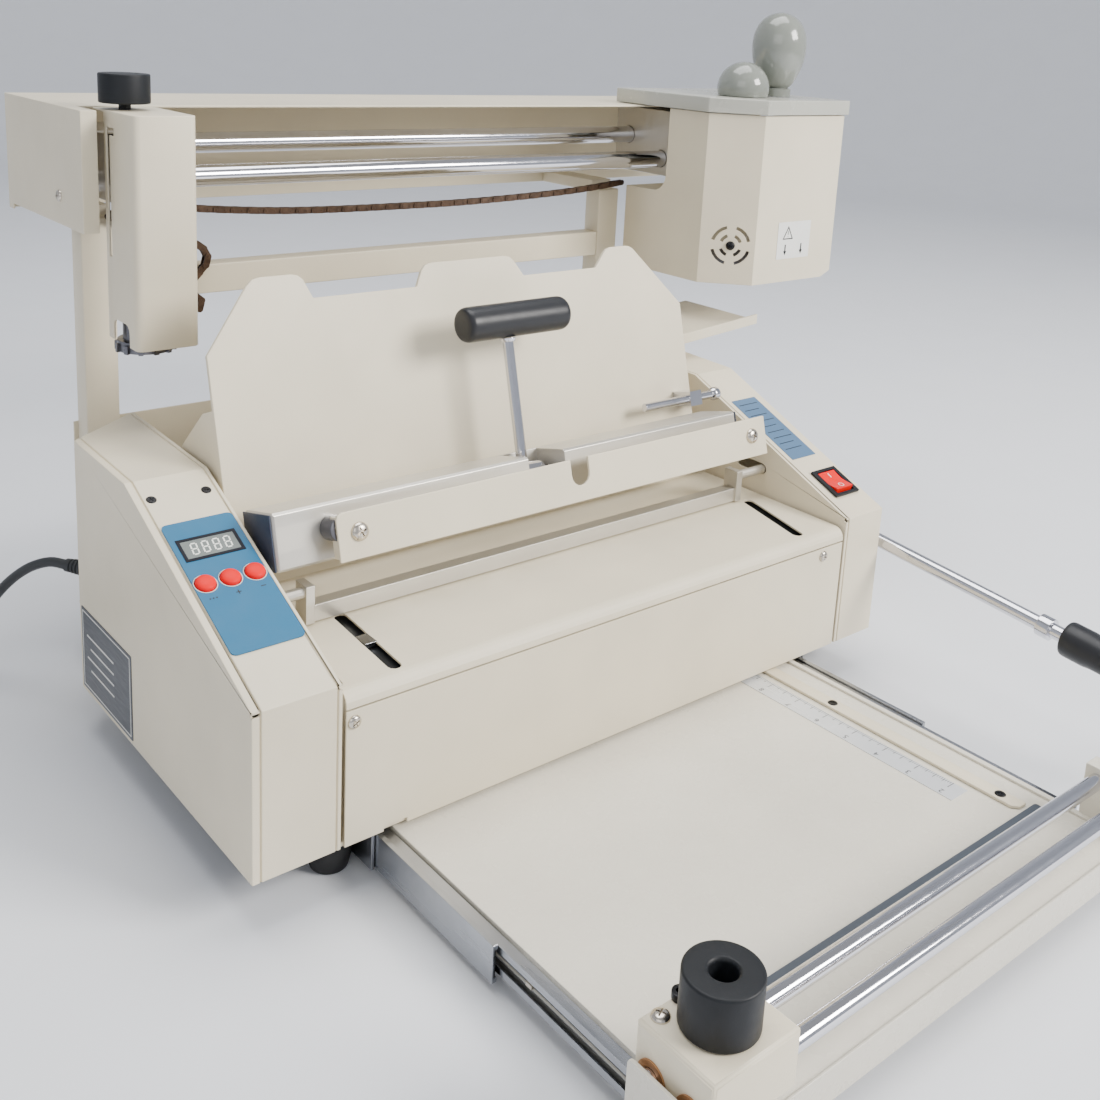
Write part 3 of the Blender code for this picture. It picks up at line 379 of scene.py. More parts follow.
def tube(points, radius, sides=14):
    """A round tube along a line of points, with closed ends and no twist."""
    points = [Vector(p) for p in points]
    shape = bmesh.new()
    across = None
    rings = []
    for i, point in enumerate(points):
        along = (points[min(i + 1, len(points) - 1)] - points[max(i - 1, 0)]).normalized()
        if across is None:
            across = along.orthogonal().normalized()
        across = (across - along * across.dot(along)).normalized()
        other = along.cross(across)
        angles = [tau * k / sides for k in range(sides)]
        rings.append(
            [shape.verts.new(point + (across * cos(a) + other * sin(a)) * radius) for a in angles]
        )
    for first, second in zip(rings, rings[1:]):
        for k in range(sides):
            m = (k + 1) % sides
            shape.faces.new((first[k], first[m], second[m], second[k]))
    shape.faces.new(rings[0])
    shape.faces.new(rings[-1])
    return outward(shape)


def mesh_of(shape, name="part"):
    """A shape as a mesh. The shape itself is thrown away."""
    mesh = bpy.data.meshes.new(name)
    shape.to_mesh(mesh)
    shape.free()
    return mesh


def merge(*shapes):
    """Several shapes as one."""
    first = shapes[0]
    for other in shapes[1:]:
        mesh = mesh_of(other)
        first.from_mesh(mesh)
        bpy.data.meshes.remove(mesh)
    return first


def moved(shape, matrix):
    shape.transform(matrix)
    return shape


def carve(shape, cutter, operation="DIFFERENCE"):
    """One shape cut by another, both in the same axes."""
    holders = []
    for part in (shape, cutter):
        holder = bpy.data.objects.new("carved", mesh_of(part))
        link(holder)
        holders.append(holder)
    modifier = holders[0].modifiers.new("cut", "BOOLEAN")
    modifier.operation = operation
    modifier.solver = "EXACT"
    modifier.object = holders[1]
    result = evaluated(holders[0])
    for holder in holders:
        old = holder.data
        bpy.data.objects.remove(holder, do_unlink=True)
        bpy.data.meshes.remove(old)
    return result


def node_shape(node):
    """A CAD node's mesh on the machine's axes, without the lines across its flat faces."""
    shape = bmesh.new()
    shape.from_mesh(frame["nodes"][node].data)
    shape.transform(MACHINE.inverted())
    return whole_faces(shape)


def whole_faces(shape):
    """The same shape with the lines across its flat faces dissolved."""
    bmesh.ops.remove_doubles(shape, verts=shape.verts, dist=0.002)
    bmesh.ops.dissolve_limit(shape, angle_limit=radians(0.6), verts=shape.verts, edges=shape.edges)
    return shape


def piece(name, shape, look, body, place=MACHINE, edge=0.0, segments=2, sharp=38.0, stands_for=(), flat=False):
    """Makes a shape a piece of the machine that rides on a body. Folded sheet is shaded flat."""
    shape.transform(place)
    mesh = mesh_of(shape, name)
    mesh.materials.append(LOOKS[look])
    for polygon in mesh.polygons:
        polygon.material_index = 0
    if flat:
        mesh.shade_flat()
    else:
        mesh.shade_smooth()
    obj = bpy.data.objects.new(name, mesh)
    link(obj)
    if edge:
        bevel = obj.modifiers.new("edges", "BEVEL")
        bevel.width = edge * MM
        bevel.segments = segments
        bevel.limit_method = "ANGLE"
        bevel.angle_limit = radians(sharp)
        bevel.use_clamp_overlap = False
        bevel.harden_normals = not flat
        bevel.miter_outer = "MITER_ARC"
    elif not flat:
        mesh.set_sharp_from_angle(angle=radians(sharp))
    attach(obj, body)
    if stands_for:
        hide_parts(*stands_for)
    return obj


def shell(node, edge=0.5, segments=2, shape=None, flat=False):
    """A CAD node again, with rounded edges and its slot's finish."""
    shape = shape or node_shape(node)
    look, body = NODE_SLOT[node], BODY[node]
    piece(node + "_skin", shape, look, body, edge=edge, segments=segments, stands_for=(node,), flat=flat)


def turned_piece(node, profile, at, towards=(0, 0, 1), place=MACHINE, extra=()):
    """A turned piece that stands for a CAD node."""
    shape = merge(lathe(profile, at, towards, 64), *extra)
    piece(node + "_skin", shape, NODE_SLOT[node], BODY[node], place, stands_for=(node,), sharp=32.0)


def node_limits(node):
    """The two far corners of a CAD node's box and its middle, on the machine's axes."""
    low, high = [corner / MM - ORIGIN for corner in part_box(node)]
    return low, high, (low + high) / 2


# ---- the screws


def cross_recess(radius, depth):
    arms = [block((-radius, radius), (-0.16 * radius, 0.16 * radius), (-depth, 1)) for _ in range(2)]
    arms[1].transform(spin(90, "Z"))
    return carve(arms[0], arms[1], "UNION")


def screw_head(kind):
    """A screw head of radius 1 whose seat is at height 0."""
    if kind == "pan":
        head = lathe([(0, 0.55), (0.45, 0.52), (0.75, 0.42), (0.94, 0.24), (1, 0.05), (1, 0), (0, 0)], steps=28)
        return carve(head, moved(cross_recess(0.55, 0.4), shift((0, 0, 0.58))))
    if kind == "flat":
        head = lathe([(0, 0.16), (0.86, 0.16), (1, 0.04), (1, -0.1), (0, -0.1)], steps=28)
        return carve(head, moved(cross_recess(0.6, 0.12), shift((0, 0, 0.16))))
    head = lathe(fillet([(0, 0.95), (1, 0.95), (1, 0), (0, 0)], 0.12, 2), steps=28)
    return carve(head, lathe([(0, 2), (0.55, 2), (0.55, 0.35), (0, 0.35)], steps=6))


def screws(name, kind, spots, body, look="nickel", place=MACHINE):
    """Screw heads of one kind at (point, way it faces, radius, turn in degrees)."""
    template = screw_head(kind)
    heads = []
    for at, facing, radius, turn in spots:
        head = template.copy()
        head.transform(towards_matrix(at, facing) @ spin(turn, "Z") @ Matrix.Scale(radius, 4))
        heads.append(head)
    template.free()
    piece(name, merge(*heads), look, body, place, sharp=35.0)


# ---- the frame


def make_feet():
    profile = fillet([(0, -0.4), (10.5, -0.4), (12.6, -4), (13, -9), (13, -24), (11.2, -30.9), (0, -30.9)], 1.6)
    for node in ("foot_front_left", "foot_front_right", "foot_rear_left", "foot_rear_right"):
        middle = node_limits(node)[2]
        turned_piece(node, profile, (middle.x, middle.y, 0))


def seam(x):
    """A cutter for the gap between a housing's cover and its side, all along the cover."""

    def side_view(inset):
        rise = tan(SLOPE_ANGLE)
        front = NOSE_HEIGHT + rise * inset - inset / cos(SLOPE_ANGLE)
        return [
            (inset, -8 if inset < 0 else -4),
            (inset, front),
            (171.0 + 0.22 * inset, NOSE_HEIGHT + rise * 171 - inset),
            (300.0, NOSE_HEIGHT + rise * 171 + 0.028 * 129 - inset),
        ]

    outline = side_view(-3.0) + side_view(1.3)[::-1]
    return plate(outline, "X", x - 0.5, x + 0.5)


def make_housings():
    for node, seams, corners in (
        ("left_housing", (-264.8, -218.4), ((-270.5, -264.8), (-218.4, -215.2))),
        ("right_housing", (228.2,), ((224.5, 228.2),)),
    ):
        housing = node_shape(node)
        for x in seams:
            housing = carve(housing, seam(x))
        for start, end in corners:
            profile = [(0, end), (1.5, end), (1.5, start), (0, start)]
            housing = carve(housing, lathe(profile, (0, 1.0, NOSE_HEIGHT - 1.2), (1, 0, 0), 12))
        shell(node, 0.6, 3, whole_faces(housing), True)


def make_sheet_metal():
    edges = {"base_plate": 0.5, "rear_panel": 0.4, "front_panel": 0.4, "deck_cover": 0.3}
    edges |= {"hood": 0.5, "drip_tray": 0.3}
    for node, edge in edges.items():
        shell(node, edge, flat=True)
    for node in ("left_post", "right_post", "cross_beam"):
        shell(node, 1.2, 3)
    make_deck_slots()


def make_deck_slots():
    """Black strips under the deck's two slots that paint the shade of the machine's inside, and a tab across
    the left one.
    """
    # black plastic strips put under the slots paint the shade inside the machine
    dark = [block(x, y, (91.0, 92.0)) for x, y in (((-185, -157), (4, 99)), ((173, 213), (4, 99)))]
    piece("deck_slot_painted_shade", merge(*dark), "black_plastic", "frame")
    piece("deck_slot_tab", block((-174.5, -166.5), (44, 56), (93.0, 96.2)), "zinc_steel", "frame", edge=0.2)


def make_rails():
    """Round rails, each as long and as thick as the node that it stands for."""
    for node in ("lower_guide_rod", "upper_guide_rod", "crease_rod_front", "crease_rod_rear"):
        low, high, middle = node_limits(node)
        start, end = (low.x, middle.y, middle.z), (high.x, middle.y, middle.z)
        shape = bar(start, end, (high.z - low.z) / 2, 1.0, 72)
        piece(node + "_skin", shape, "chrome", BODY[node], stands_for=(node,), sharp=32.0)


CHAIN_Y = 355.0
CHAIN_PITCH = 7.0
CHAIN_RUN = [(-206, 309), (-190, 317), (-160, 314), (-120, 310), (-70, 306.5)]
CHAIN_RUN += [(-20, 305), (40, 304.5), (100, 304.5), (160, 306), (220, 308.5)]
CHAIN_RUN += [(260, 311.5), (296, 315)]
CHAIN_TAIL = [(-206, 309), (-180, 300), (-150, 290), (-133, 279), (-133, 268)]
CHAIN_TAIL += [(-143, 258), (-145, 248), (-136, 239), (-142, 230)]


def evenly(line, spacing):
    """Points a spacing apart along a line."""
    kept = [line[0]]
    for point in line:
        if (point - kept[-1]).length >= spacing:
            kept.append(kept[-1] + (point - kept[-1]).normalized() * spacing)
    return kept


def chain_link(a, b, wide):
    """Two side plates and a roller between two joints in the plane of the chain."""
    along = b - a
    angle = degrees(atan2(along.y, along.x))
    outline = arc(b, 2.6, angle - 80, angle + 80, 5) + arc(a, 2.6, angle + 100, angle + 260, 5)
    inner, outer = (2.0, 2.8) if wide else (1.1, 1.9)
    parts = [plate(outline, "Y", CHAIN_Y + s * inner, CHAIN_Y + s * outer) for s in (-1, 1)]
    parts.append(bar((a.x, CHAIN_Y - 3.1, a.y), (a.x, CHAIN_Y + 3.1, a.y), 1.0, 0.2, 8))
    parts.append(lathe([(0, 1.1), (1.9, 1.1), (1.9, -1.1), (0, -1.1)], (a.x, CHAIN_Y, a.y), (0, 1, 0), 10))
    return merge(*parts)


def make_chain():
    links = []
    for run in (CHAIN_RUN, CHAIN_TAIL):
        joints = evenly(through(run, 24), CHAIN_PITCH)
        links += [chain_link(a, b, i % 2 == 0) for i, (a, b) in enumerate(zip(joints, joints[1:]))]
    pins = [bar((x, CHAIN_Y - 3, z), (x, 359.6, z), 1.9, 0.3, 14) for x, z in ((-205, 308.5), (290, 314.5))]
    piece("roller_chain_links", merge(*links, *pins), "chain_steel", "frame", stands_for=("roller_chain",))


def slide_profile(x, z, side, thick, lip):
    """The section of a drawer rail: a web with its two edges rolled over."""
    outer = x[1] if side > 0 else x[0]
    inner = x[0] if side > 0 else x[1]
    return [
        (inner, z[0]), (outer, z[0]), (outer, z[1]), (inner, z[1]), (inner, z[1] - lip),
        (outer - side * thick, z[1] - lip), (outer - side * thick, z[0] + lip), (inner, z[0] + lip),
    ]


def make_slides():
    for side, sign in (("left", -1), ("right", 1)):
        low, high, _ = node_limits(f"{side}_outer_slide")
        rail_shape = block((low.x, high.x), (low.y, high.y), (low.z, high.z))
        for y in (40, 90, 140, 190):
            rail_shape = carve(rail_shape, plate(arc((y, -14), 3.4, 0, 342, 19), "X", low.x - 2, high.x + 2))
        shell(f"{side}_outer_slide", 0.4, shape=rail_shape)

        low, high, middle = node_limits(f"{side}_middle_slide")
        section = slide_profile((low.x, high.x), (low.z, high.z), sign, 1.3, 3.2)
        runner_x = middle.x - sign * 0.5
        balls = [
            lathe([(1.25 * sin(a), 1.25 * cos(a)) for a in [pi * k / 6 for k in range(7)]],
                  (runner_x, low.y + 14 + 7.5 * i, z), steps=10)
            for i in range(27)
            for z in (low.z + 4.9, high.z - 4.9)
        ]
        shell(f"{side}_middle_slide", 0.35, shape=plate(section, "Y", low.y, high.y))
        piece(f"{side}_slide_balls", merge(*balls), "chrome", f"{side}_runner")
        cage = block((runner_x - 0.5, runner_x + 0.5), (low.y + 8, low.y + 214), (low.z + 3.4, high.z - 3.4))
        piece(f"{side}_slide_cage", cage, "black_plastic", f"{side}_runner", edge=0.2)
        width = sorted((runner_x, runner_x + sign))
        stop = block(width, (low.y, low.y + 7.5), (low.z + 2.2, high.z - 2.2))
        piece(f"{side}_slide_stop", stop, "black_plastic", f"{side}_runner", edge=0.3)


# ---- the controls

BUTTONS_X = (-256.5, -241.1, -225.7)
BUTTON_S = 92.7
DISPLAY_X = (-258.6, -224.5)
DISPLAY_S = (113.0, 128.0)
DIGIT_SLANT = 0.09
DIGIT_H = (0.9, 1.06)
SWITCH_X, SWITCH_S = 249.7, 36.5


def window(x, y, width, z):
    """Four bars round a rectangular window."""
    sides = [block((x[0], x[0] + width), y, z), block((x[1] - width, x[1]), y, z)]
    across = (x[0] + width, x[1] - width)
    ends = [block(across, (y[0], y[0] + width), z), block(across, (y[1] - width, y[1]), z)]
    return merge(*sides, *ends)


def make_overlay():
    sheet = block((-263.6, -219.6), (1.2, 42.0), (-0.4, 0.03))
    piece("slope_sheet", sheet, "cream_paint", "frame", SLOPE, flat=True)
    holes = [arc((x, BUTTON_S), 6.6, 350, 0, 35) for x in BUTTONS_X]
    film = plate(rectangle((-264.6 + 0.9, -218.6), (38.8, 143.8), 4.0, 8), "Z", 0.05, 0.9, holes)
    piece("control_film", film, "blue_panel", "frame", SLOPE, stands_for=("control_overlay",), flat=True)
    rings = [lathe(band(6.6, 7.1, 0.85, 0.97), (x, BUTTON_S, 0), steps=40) for x in BUTTONS_X]
    piece("button_rings", merge(*rings), "print_pale", "frame", SLOPE, flat=True)

    x, s = [(low - 1.6, high + 1.6) for low, high in (DISPLAY_X, DISPLAY_S)]
    bezel = window(x, s, 2.0, (0.8, 1.25))
    piece("display_frame", bezel, "display_frame", "frame", SLOPE, flat=True)
    glass = block(DISPLAY_X, DISPLAY_S, (0.6, 1.0))
    piece("display_glass", glass, "display_glass", "frame", SLOPE, flat=True)
    make_digits()
    make_signs()


def make_digits():
    """Four seven-segment figures with every segment showing."""
    wide, tall, thick = 4.4, 9.6, 0.9
    bars = []
    for number in range(4):
        left = DISPLAY_X[0] + 5.0 + number * 6.9
        low = (DISPLAY_S[0] + DISPLAY_S[1] - tall) / 2
        for level in range(3):
            s = low + level * (tall - thick) / 2
            bars.append(block((left + thick, left + wide - thick), (s, s + thick), DIGIT_H))
        for level in range(2):
            s = low + thick * 0.9 + level * (tall - thick) / 2
            for x in (left, left + wide - thick):
                bars.append(block((x, x + thick), (s, s + (tall - thick) / 2 - thick * 0.8), DIGIT_H))
    digits = merge(*bars)
    slant = Matrix.Identity(4)
    slant[0][1] = DIGIT_SLANT
    digits.transform(shift((-DIGIT_SLANT * DISPLAY_S[0] - 0.7, 0, 0)) @ slant)
    piece("display_segments", digits, "display_segment", "frame", SLOPE)


def make_signs():
    """A plus and a minus below two of the buttons, and three dots below the first."""
    s, half, thin, height = BUTTON_S - 11.6, 1.6, 0.35, (0.85, 0.96)
    dot_x, plus_x, minus_x = BUTTONS_X
    plus = merge(
        block((plus_x - half, plus_x + half), (s - thin, s + thin), height),
        block((plus_x - thin, plus_x + thin), (s - half, s + half), height),
    )
    minus = block((minus_x - half, minus_x + half), (s - thin, s + thin), height)
    dots = [
        lathe([(0, 0.96), (0.55, 0.96), (0.55, 0.85), (0, 0.85)], (dot_x + x, s, 0), steps=16)
        for x in (-2, 0, 2)
    ]
    piece("panel_signs", merge(plus, minus, *dots), "print_black", "frame", SLOPE)


def make_buttons():
    profile = through([(0.0, 4.1), (1.8, 4.05), (3.6, 3.8), (5.2, 3.1), (5.95, 2.2), (6.1, 1.4)], 4)
    profile += [(6.1, -1.9), (7.4, -1.9), (7.4, -3.4), (0, -3.4)]
    for node, x in zip(("button_left", "button_middle", "button_right"), BUTTONS_X):
        turned_piece(node, profile, (x, BUTTON_S, 0), place=SLOPE)


def make_switch():
    shell("switch_bezel", 0.35, flat=True)
    half = 10.6
    side = [(-half, -8), (half, -8), (half, 3.6)]
    side += [(half * (1 - k / 6), 2.0 + 1.6 * (1 - k / 6) ** 1.6) for k in range(1, 6)]
    side += [(0.6, 2.0), (-0.6, 2.0)]
    side += [(-half * k / 6, 2.0 + 1.6 * (k / 6) ** 1.6) for k in range(1, 6)] + [(-half, 3.6)]
    rocker = plate(side, "X", -9.7, 9.7)
    tilt = shift((SWITCH_X, SWITCH_S, -2.0)) @ spin(-6, "X")
    rocker.transform(tilt @ shift((0, 0, 2.0)))
    piece("rocker_skin", rocker, "red_rocker", "rocker", SLOPE, 0.45, 3, 30.0, ("power_rocker",))
    bar_mark = block((-0.5, 0.5), (-2.2, 2.2), (0, 0.12))
    bar_mark.transform(tilt @ shift((0, 6.3, 4.75)) @ spin(9, "X"))
    ring_mark = lathe(band(1.9, 2.5, 0, 0.12), steps=28)
    ring_mark.transform(tilt @ shift((0, -6.3, 4.75)) @ spin(-9, "X"))
    piece("rocker_marks", merge(bar_mark, ring_mark), "print_pale", "rocker", SLOPE)


def make_labels():
    """Plain plates where the real ones carry print."""
    blue = plate(rectangle((233.0, 261.5), (69.4, 146.0), 0.6, 2), "Z", 0.02, 0.35)
    piece("right_label", blue, "label_blue", "frame", SLOPE, edge=0.08)
    lines = []
    for row in range(9):
        s = 139.0 - 7.2 * row
        lines.append(block((236.5, 236.5 + (21.5, 17.0, 19.5)[row % 3]), (s - 0.35, s + 0.35), (0.3, 0.42)))
    piece("right_label_lines", merge(*lines), "print_black", "frame", SLOPE)

    dark = plate(rectangle((166.0, 253.0), (3.5, 62.5), 0.8, 2), "X", -270.45, -269.95)
    piece("rating_plate", dark, "label_dark", "frame", edge=0.1)
    lines = ((44, 243), (36, 237), (28, 243), (20, 237))
    rows = [block((-270.6, -270.4), (196.0, end), (z, z + 1.2)) for z, end in lines]
    border = plate(
        rectangle((168.0, 251.0), (5.5, 60.5), 0.6, 2), "X", -270.55, -270.4,
        [rectangle((168.8, 250.2), (6.3, 59.7), 0.4, 2)[::-1]],
    )
    piece("rating_plate_lines", merge(border, *rows), "print_pale", "frame")

    white = plate(rectangle((364.0, 410.0), (258.0, 293.0), 0.6, 2), "Y", 210.55, 211.0)
    piece("tank_label", white, "label_white", "tank", edge=0.08)
    make_heat_sign()


def make_heat_sign():
    """A plain warning triangle and two arrows."""
    depth = (210.4, 210.6)
    outer = [(371.0, 276.5), (385.5, 276.5), (378.25, 289.0)]
    inner = [(372.7, 277.5), (383.8, 277.5), (378.25, 287.0)]
    triangle = plate(outer, "Y", *depth, [inner[::-1]])
    stem = block((377.95, 378.55), depth, (280.5, 284.6))
    dot = block((377.95, 378.55), depth, (278.6, 279.3))
    arrows = []
    for x in (375.5, 398.0):
        arrows.append(block((x - 0.8, x + 0.8), depth, (264.5, 271.5)))
        arrows.append(plate([(x - 2.2, 265.5), (x + 2.2, 265.5), (x, 261.5)], "Y", *depth))
    piece("tank_label_signs", merge(triangle, stem, dot, *arrows), "print_black", "tank")


def make_frame_screws():
    slope_screws = [((-259.5, 167.7, 0), (0, 0, 1), 3.2, 20), ((-224.7, 166.8, 0), (0, 0, 1), 3.2, 65)]
    screws("slope_screws", "flat", slope_screws, "frame", "black_oxide", SLOPE)
    front, back, left = (0, -1, 0), (0, 1, 0), (-1, 0, 0)
    pans = [((-208, 0, 78), front, 4.2, 30), ((200, 0, 79), front, 4.2, 75), ((-247, 336, 329), left, 4.2, 10)]
    pans += [((x, 381.8, z), back, 3.6, 15 * k) for k, x in enumerate((-215, -60, 120, 288)) for z in (20, 138)]
    pans += [((x, 450, 309.5), back, 3.6, turn) for x, turn in ((-213, 0), (285, 40))]
    screws("frame_screws", "pan", pans, "frame")


# ---- the lever and nip bar


def make_press():
    """The press lever and the nip bar that it drives."""
    pivot, down = Vector((279, 120, 82)), Vector((0, -390, -36)).normalized()
    arm = bar(pivot, pivot + down * 278, 5.5, 0.6, 48)
    hub_profile = fillet([(0, 7.0), (12, 7.0), (12, -8.4), (0, -8.4)], 1.2)
    hub = lathe(hub_profile, pivot, (1, 0, 0), 56)
    pin = bar((264, 120, 82), (275, 120, 82), 5.6, 0.5, 40)
    collar = lathe(fillet([(5.4, 268), (8.2, 268), (8.2, 258), (5.4, 258)], 0.5), pivot, down, 48)
    lever = merge(arm, hub, pin, collar)
    piece("press_lever_skin", lever, "chrome", "press_lever", stands_for=("press_lever_arm",), sharp=32.0)
    grip = [(0, 113), (8.5, 113), (11.6, 112), (13, 108.5), (13, 96), (12.2, 90), (12.2, 24), (13, 18), (13, 3)]
    grip += [(12.4, 0.8), (10.5, 0), (0, 0)]
    turned_piece("press_lever_grip", fillet(grip, 1.2, 3), pivot + down * 278.4, down)
    shell("front_nip_bar", 0.4, flat=True)


# ---- the book clamp


def make_clamp():
    shell("clamp_back_plate", 0.5, flat=True)
    shell("clamp_front_plate", 0.5, flat=True)
    shell("clamp_front_jaw", 0.4, flat=True)
    # navy plates on the jaw's two end faces paint the shade and blue reflection that fall on them
    end_shades = [block((x, x + 1.2), (-36.4, -0.6), (-35.4, -0.6)) for x in (-212.2, 193.0)]
    piece("jaw_end_painted_shade", merge(*end_shades), "navy_painted_shade", "jaw", CLAMP, edge=0.4)
    fold = block((-177.0, -175.4), (-51.0, -45.5), (-34.0, -8.0))
    piece("front_plate_return", fold, "cream_paint", "clamp", CLAMP, edge=0.3)
    spots = [((x, -53, w), (0, -1, 0), 6.0, t) for x, w, t in ((-162, -19.5, 20), (192, -19.5, 65))]
    screws("clamp_screws", "pan", spots, "clamp", "nickel", CLAMP)
    stop = bar((136, 6, 11), (214, 6, 11), 3.5, 0.6, 40)
    profile = [(0, 5.5), (3.4, 5.2), (5.5, 2.4), (5.5, -2.4), (3.4, -5.2), (0, -5.5)]
    ball = lathe(fillet(profile, 1.2), (215.5, 6, 11), (1, 0, 0), 40)
    stop = merge(stop, ball, block((184, 197), (2, 21.7), (5, 17)))
    piece("side_stop_skin", stop, "chrome", "clamp", CLAMP, stands_for=("side_stop",), sharp=32.0)
    profile = fillet([(5.1, 14), (8.0, 14), (8.0, 0), (5.1, 0)], 0.5)
    spacer = lathe(profile, (-172.5, -51, -16), (0, 1, 0), 40)
    piece("clamp_spacer", spacer, "machined_steel", "clamp", CLAMP, sharp=32.0)


def make_clamp_lever():
    stem = bar((-5.5, -15, -15), (-5.5, -15, 82.6), 4.0, 0.5, 48)
    hub = lathe(fillet([(0, 10), (8, 10), (8, -12), (0, -12)], 1.0), (0, -15, -15), (1, 0, 0), 56)
    pin = bar((-20, -15, -15), (18, -15, -15), 3.0, 0.4, 32)
    ferrule = fillet([(3.9, 80), (5.4, 80), (6.2, 82.6), (3.9, 82.6)], 0.3)
    ferrule = lathe(ferrule, (-5.5, -15, 0), (0, 0, 1), 40)
    piece(
        "clamp_lever_skin", merge(stem, hub, pin, ferrule), "chrome", "clamp_lever", CLAMP,
        stands_for=("clamp_lever_stem",), sharp=32.0,
    )
    half = [(0, 45), (8.0, 45), (11.2, 44.2), (12.4, 41.5), (12.5, 36)]
    grip = half + [(r, -h) for r, h in half[::-1]]
    turned_piece("clamp_lever_grip", fillet(grip, 1.5, 4), (2, -15, 95.4), (1, 0, 0), place=CLAMP)


# ---- the two heads

CUTTER_AT = (-208, 287, 0)


def make_milling_head():
    shell("milling_carriage", 0.5, flat=True)
    shell("milling_cover", 0.55, 3)
    knob = fillet([(0, 415), (17, 415), (17, 395.3), (4, 395.3), (4, 340.4), (0, 340.4)], 1.1, 4)
    turned_piece("milling_knob", knob, (-214, 299, 0))
    body = fillet([(0, 327.6), (16.5, 327.6), (16.5, 268), (14, 262), (5.6, 262), (5.6, 270), (0, 270)], 1.0)
    bands = [[(15.8, z + 1.6), (16.9, z + 1.6), (16.9, z), (15.8, z)] for z in (274, 316)]
    bands = [lathe(profile, CUTTER_AT) for profile in bands]
    turned_piece("milling_motor", body, CUTTER_AT, extra=bands)
    make_cutter()


def make_cutter():
    hub = [(0, 269.6), (5, 269.6), (5, 248), (15, 248), (15, 234.5), (19, 234.5), (19, 226.7), (0, 226.7)]
    teeth = []
    for number in range(12):
        angle = tau * number / 12
        tooth = block((17.5, 20.8), (-2.0, 1.2), (226.5, 232.4))
        tooth.transform(shift(CUTTER_AT) @ Matrix.Rotation(angle, 4, "Z"))
        teeth.append(tooth)
    turned_piece("milling_cutter", fillet(hub, 0.5), CUTTER_AT, extra=teeth)


def make_tank():
    shell("tank_carriage", 0.5, flat=True)
    shell("tank_housing", 0.3, flat=True)
    shell("glue_pot", 0.6, 2)
    shell("tank_lid", 1.1, 3)
    roller = [(0, 26.8), (4, 26.8), (4, 22.4), (17, 22.4), (17, -22.4), (4, -22.4), (4, -27.8), (0, -27.8)]
    turned_piece("glue_roller", fillet(roller, 0.5), (385, 279, 245), (0, 1, 0))
    base = 405.3
    dome = [(24 * sin(a), 24 * cos(a)) for a in [radians(6 * k) for k in range(18)]]
    dome += [(22.8, -7.2), (0, -7.4)]
    dome[0] = (0.0, 24.0)
    turned_piece("lid_knob", dome, (352, 258, base + 7.45))
    egg = [(0, 483), (5, 482.3), (11, 480.2), (17, 476), (21.5, 470), (24.6, 461.5), (25.6, 452), (24.6, 441)]
    egg += [(22.2, 431.5), (18.6, 423), (15.2, 417), (11.4, 413.4)]
    egg = through(egg, 5) + [(14.4, 412.4), (14.4, base + 0.1), (0, base + 0.1)]
    egg[0] = (0.0, 483.0)
    turned_piece("push_handle", egg, (402, 262, 0))
    facing = Vector((-1, -1, 0)).normalized()
    vent = Vector((318, 227, 272))
    screws("tank_screws", "pan", [(vent + facing * 0.6, facing, 4.2, 30)], "tank", "black_oxide")


# ---- the creasing tray

RULER_X = (122.0, 140.0)
RULER_Y = (-176.0, 10.0)
TWO_INCHES_Y = -166.0
INCH = 25.4
TRAY_TOP = -3.0


def make_tray():
    section = [(-178, -22), (-178, TRAY_TOP), (178, TRAY_TOP), (178, -22)]
    section += [(176.5, -22), (176.5, TRAY_TOP - 1.5), (-176.5, TRAY_TOP - 1.5), (-176.5, -22)]
    pan = plate(section, "Y", -265.4, 10.0)
    piece("tray_pan", pan, "tray_sheet", "tray", edge=0.5, stands_for=("creasing_tray",), flat=True)
    piece("tray_front", block((-177.8, 177.8), (-266.9, -265.4), (-21.8, -1.5)), "tray_sheet", "tray", edge=0.5)
    piece("tray_rim", block((173.5, 177.7), (-256, 9.5), (TRAY_TOP, -1.2)), "tray_sheet", "tray", edge=0.4)
    make_brackets()
    make_runners()
    shell("tray_fence", 0.4, 2)
    strip = plate(rectangle((-160.0, 163.0), (-215.2, -209.8), 2.4, 5), "Z", TRAY_TOP - 0.02, TRAY_TOP + 1.3)
    piece("crease_strip", strip, "slate_rubber", "tray", edge=0.4)
    spots = [((151.5, y, -0.7), (0, 0, 1), 3.6, 20) for y in (-58.0, -192.0)]
    screws("fence_screws", "flat", spots, "tray", "black_oxide")
    spots = [((-208.5, y, 4), (-1, 0, 0), 5.0, turn) for y, turn in ((-244, 10), (-268, 50))]
    screws("tray_screws", "pan", spots, "tray")
    make_ruler()


def make_brackets():
    """The two end brackets of the creasing rods."""
    left = plate(rectangle((-275, -230), (-7, 31), 3.0, 4), "X", -208.5, -206.5)
    foot = block((-208, -170), (-262, -232), (-6, -4.6))
    piece("left_rod_bracket", merge(left, foot), "tray_sheet", "tray", edge=0.3, flat=True)
    right = block((176.9, 190), (-272, -231), (-20, 33))
    piece("right_rod_bracket", right, "tray_sheet", "tray", edge=0.8, segments=3)


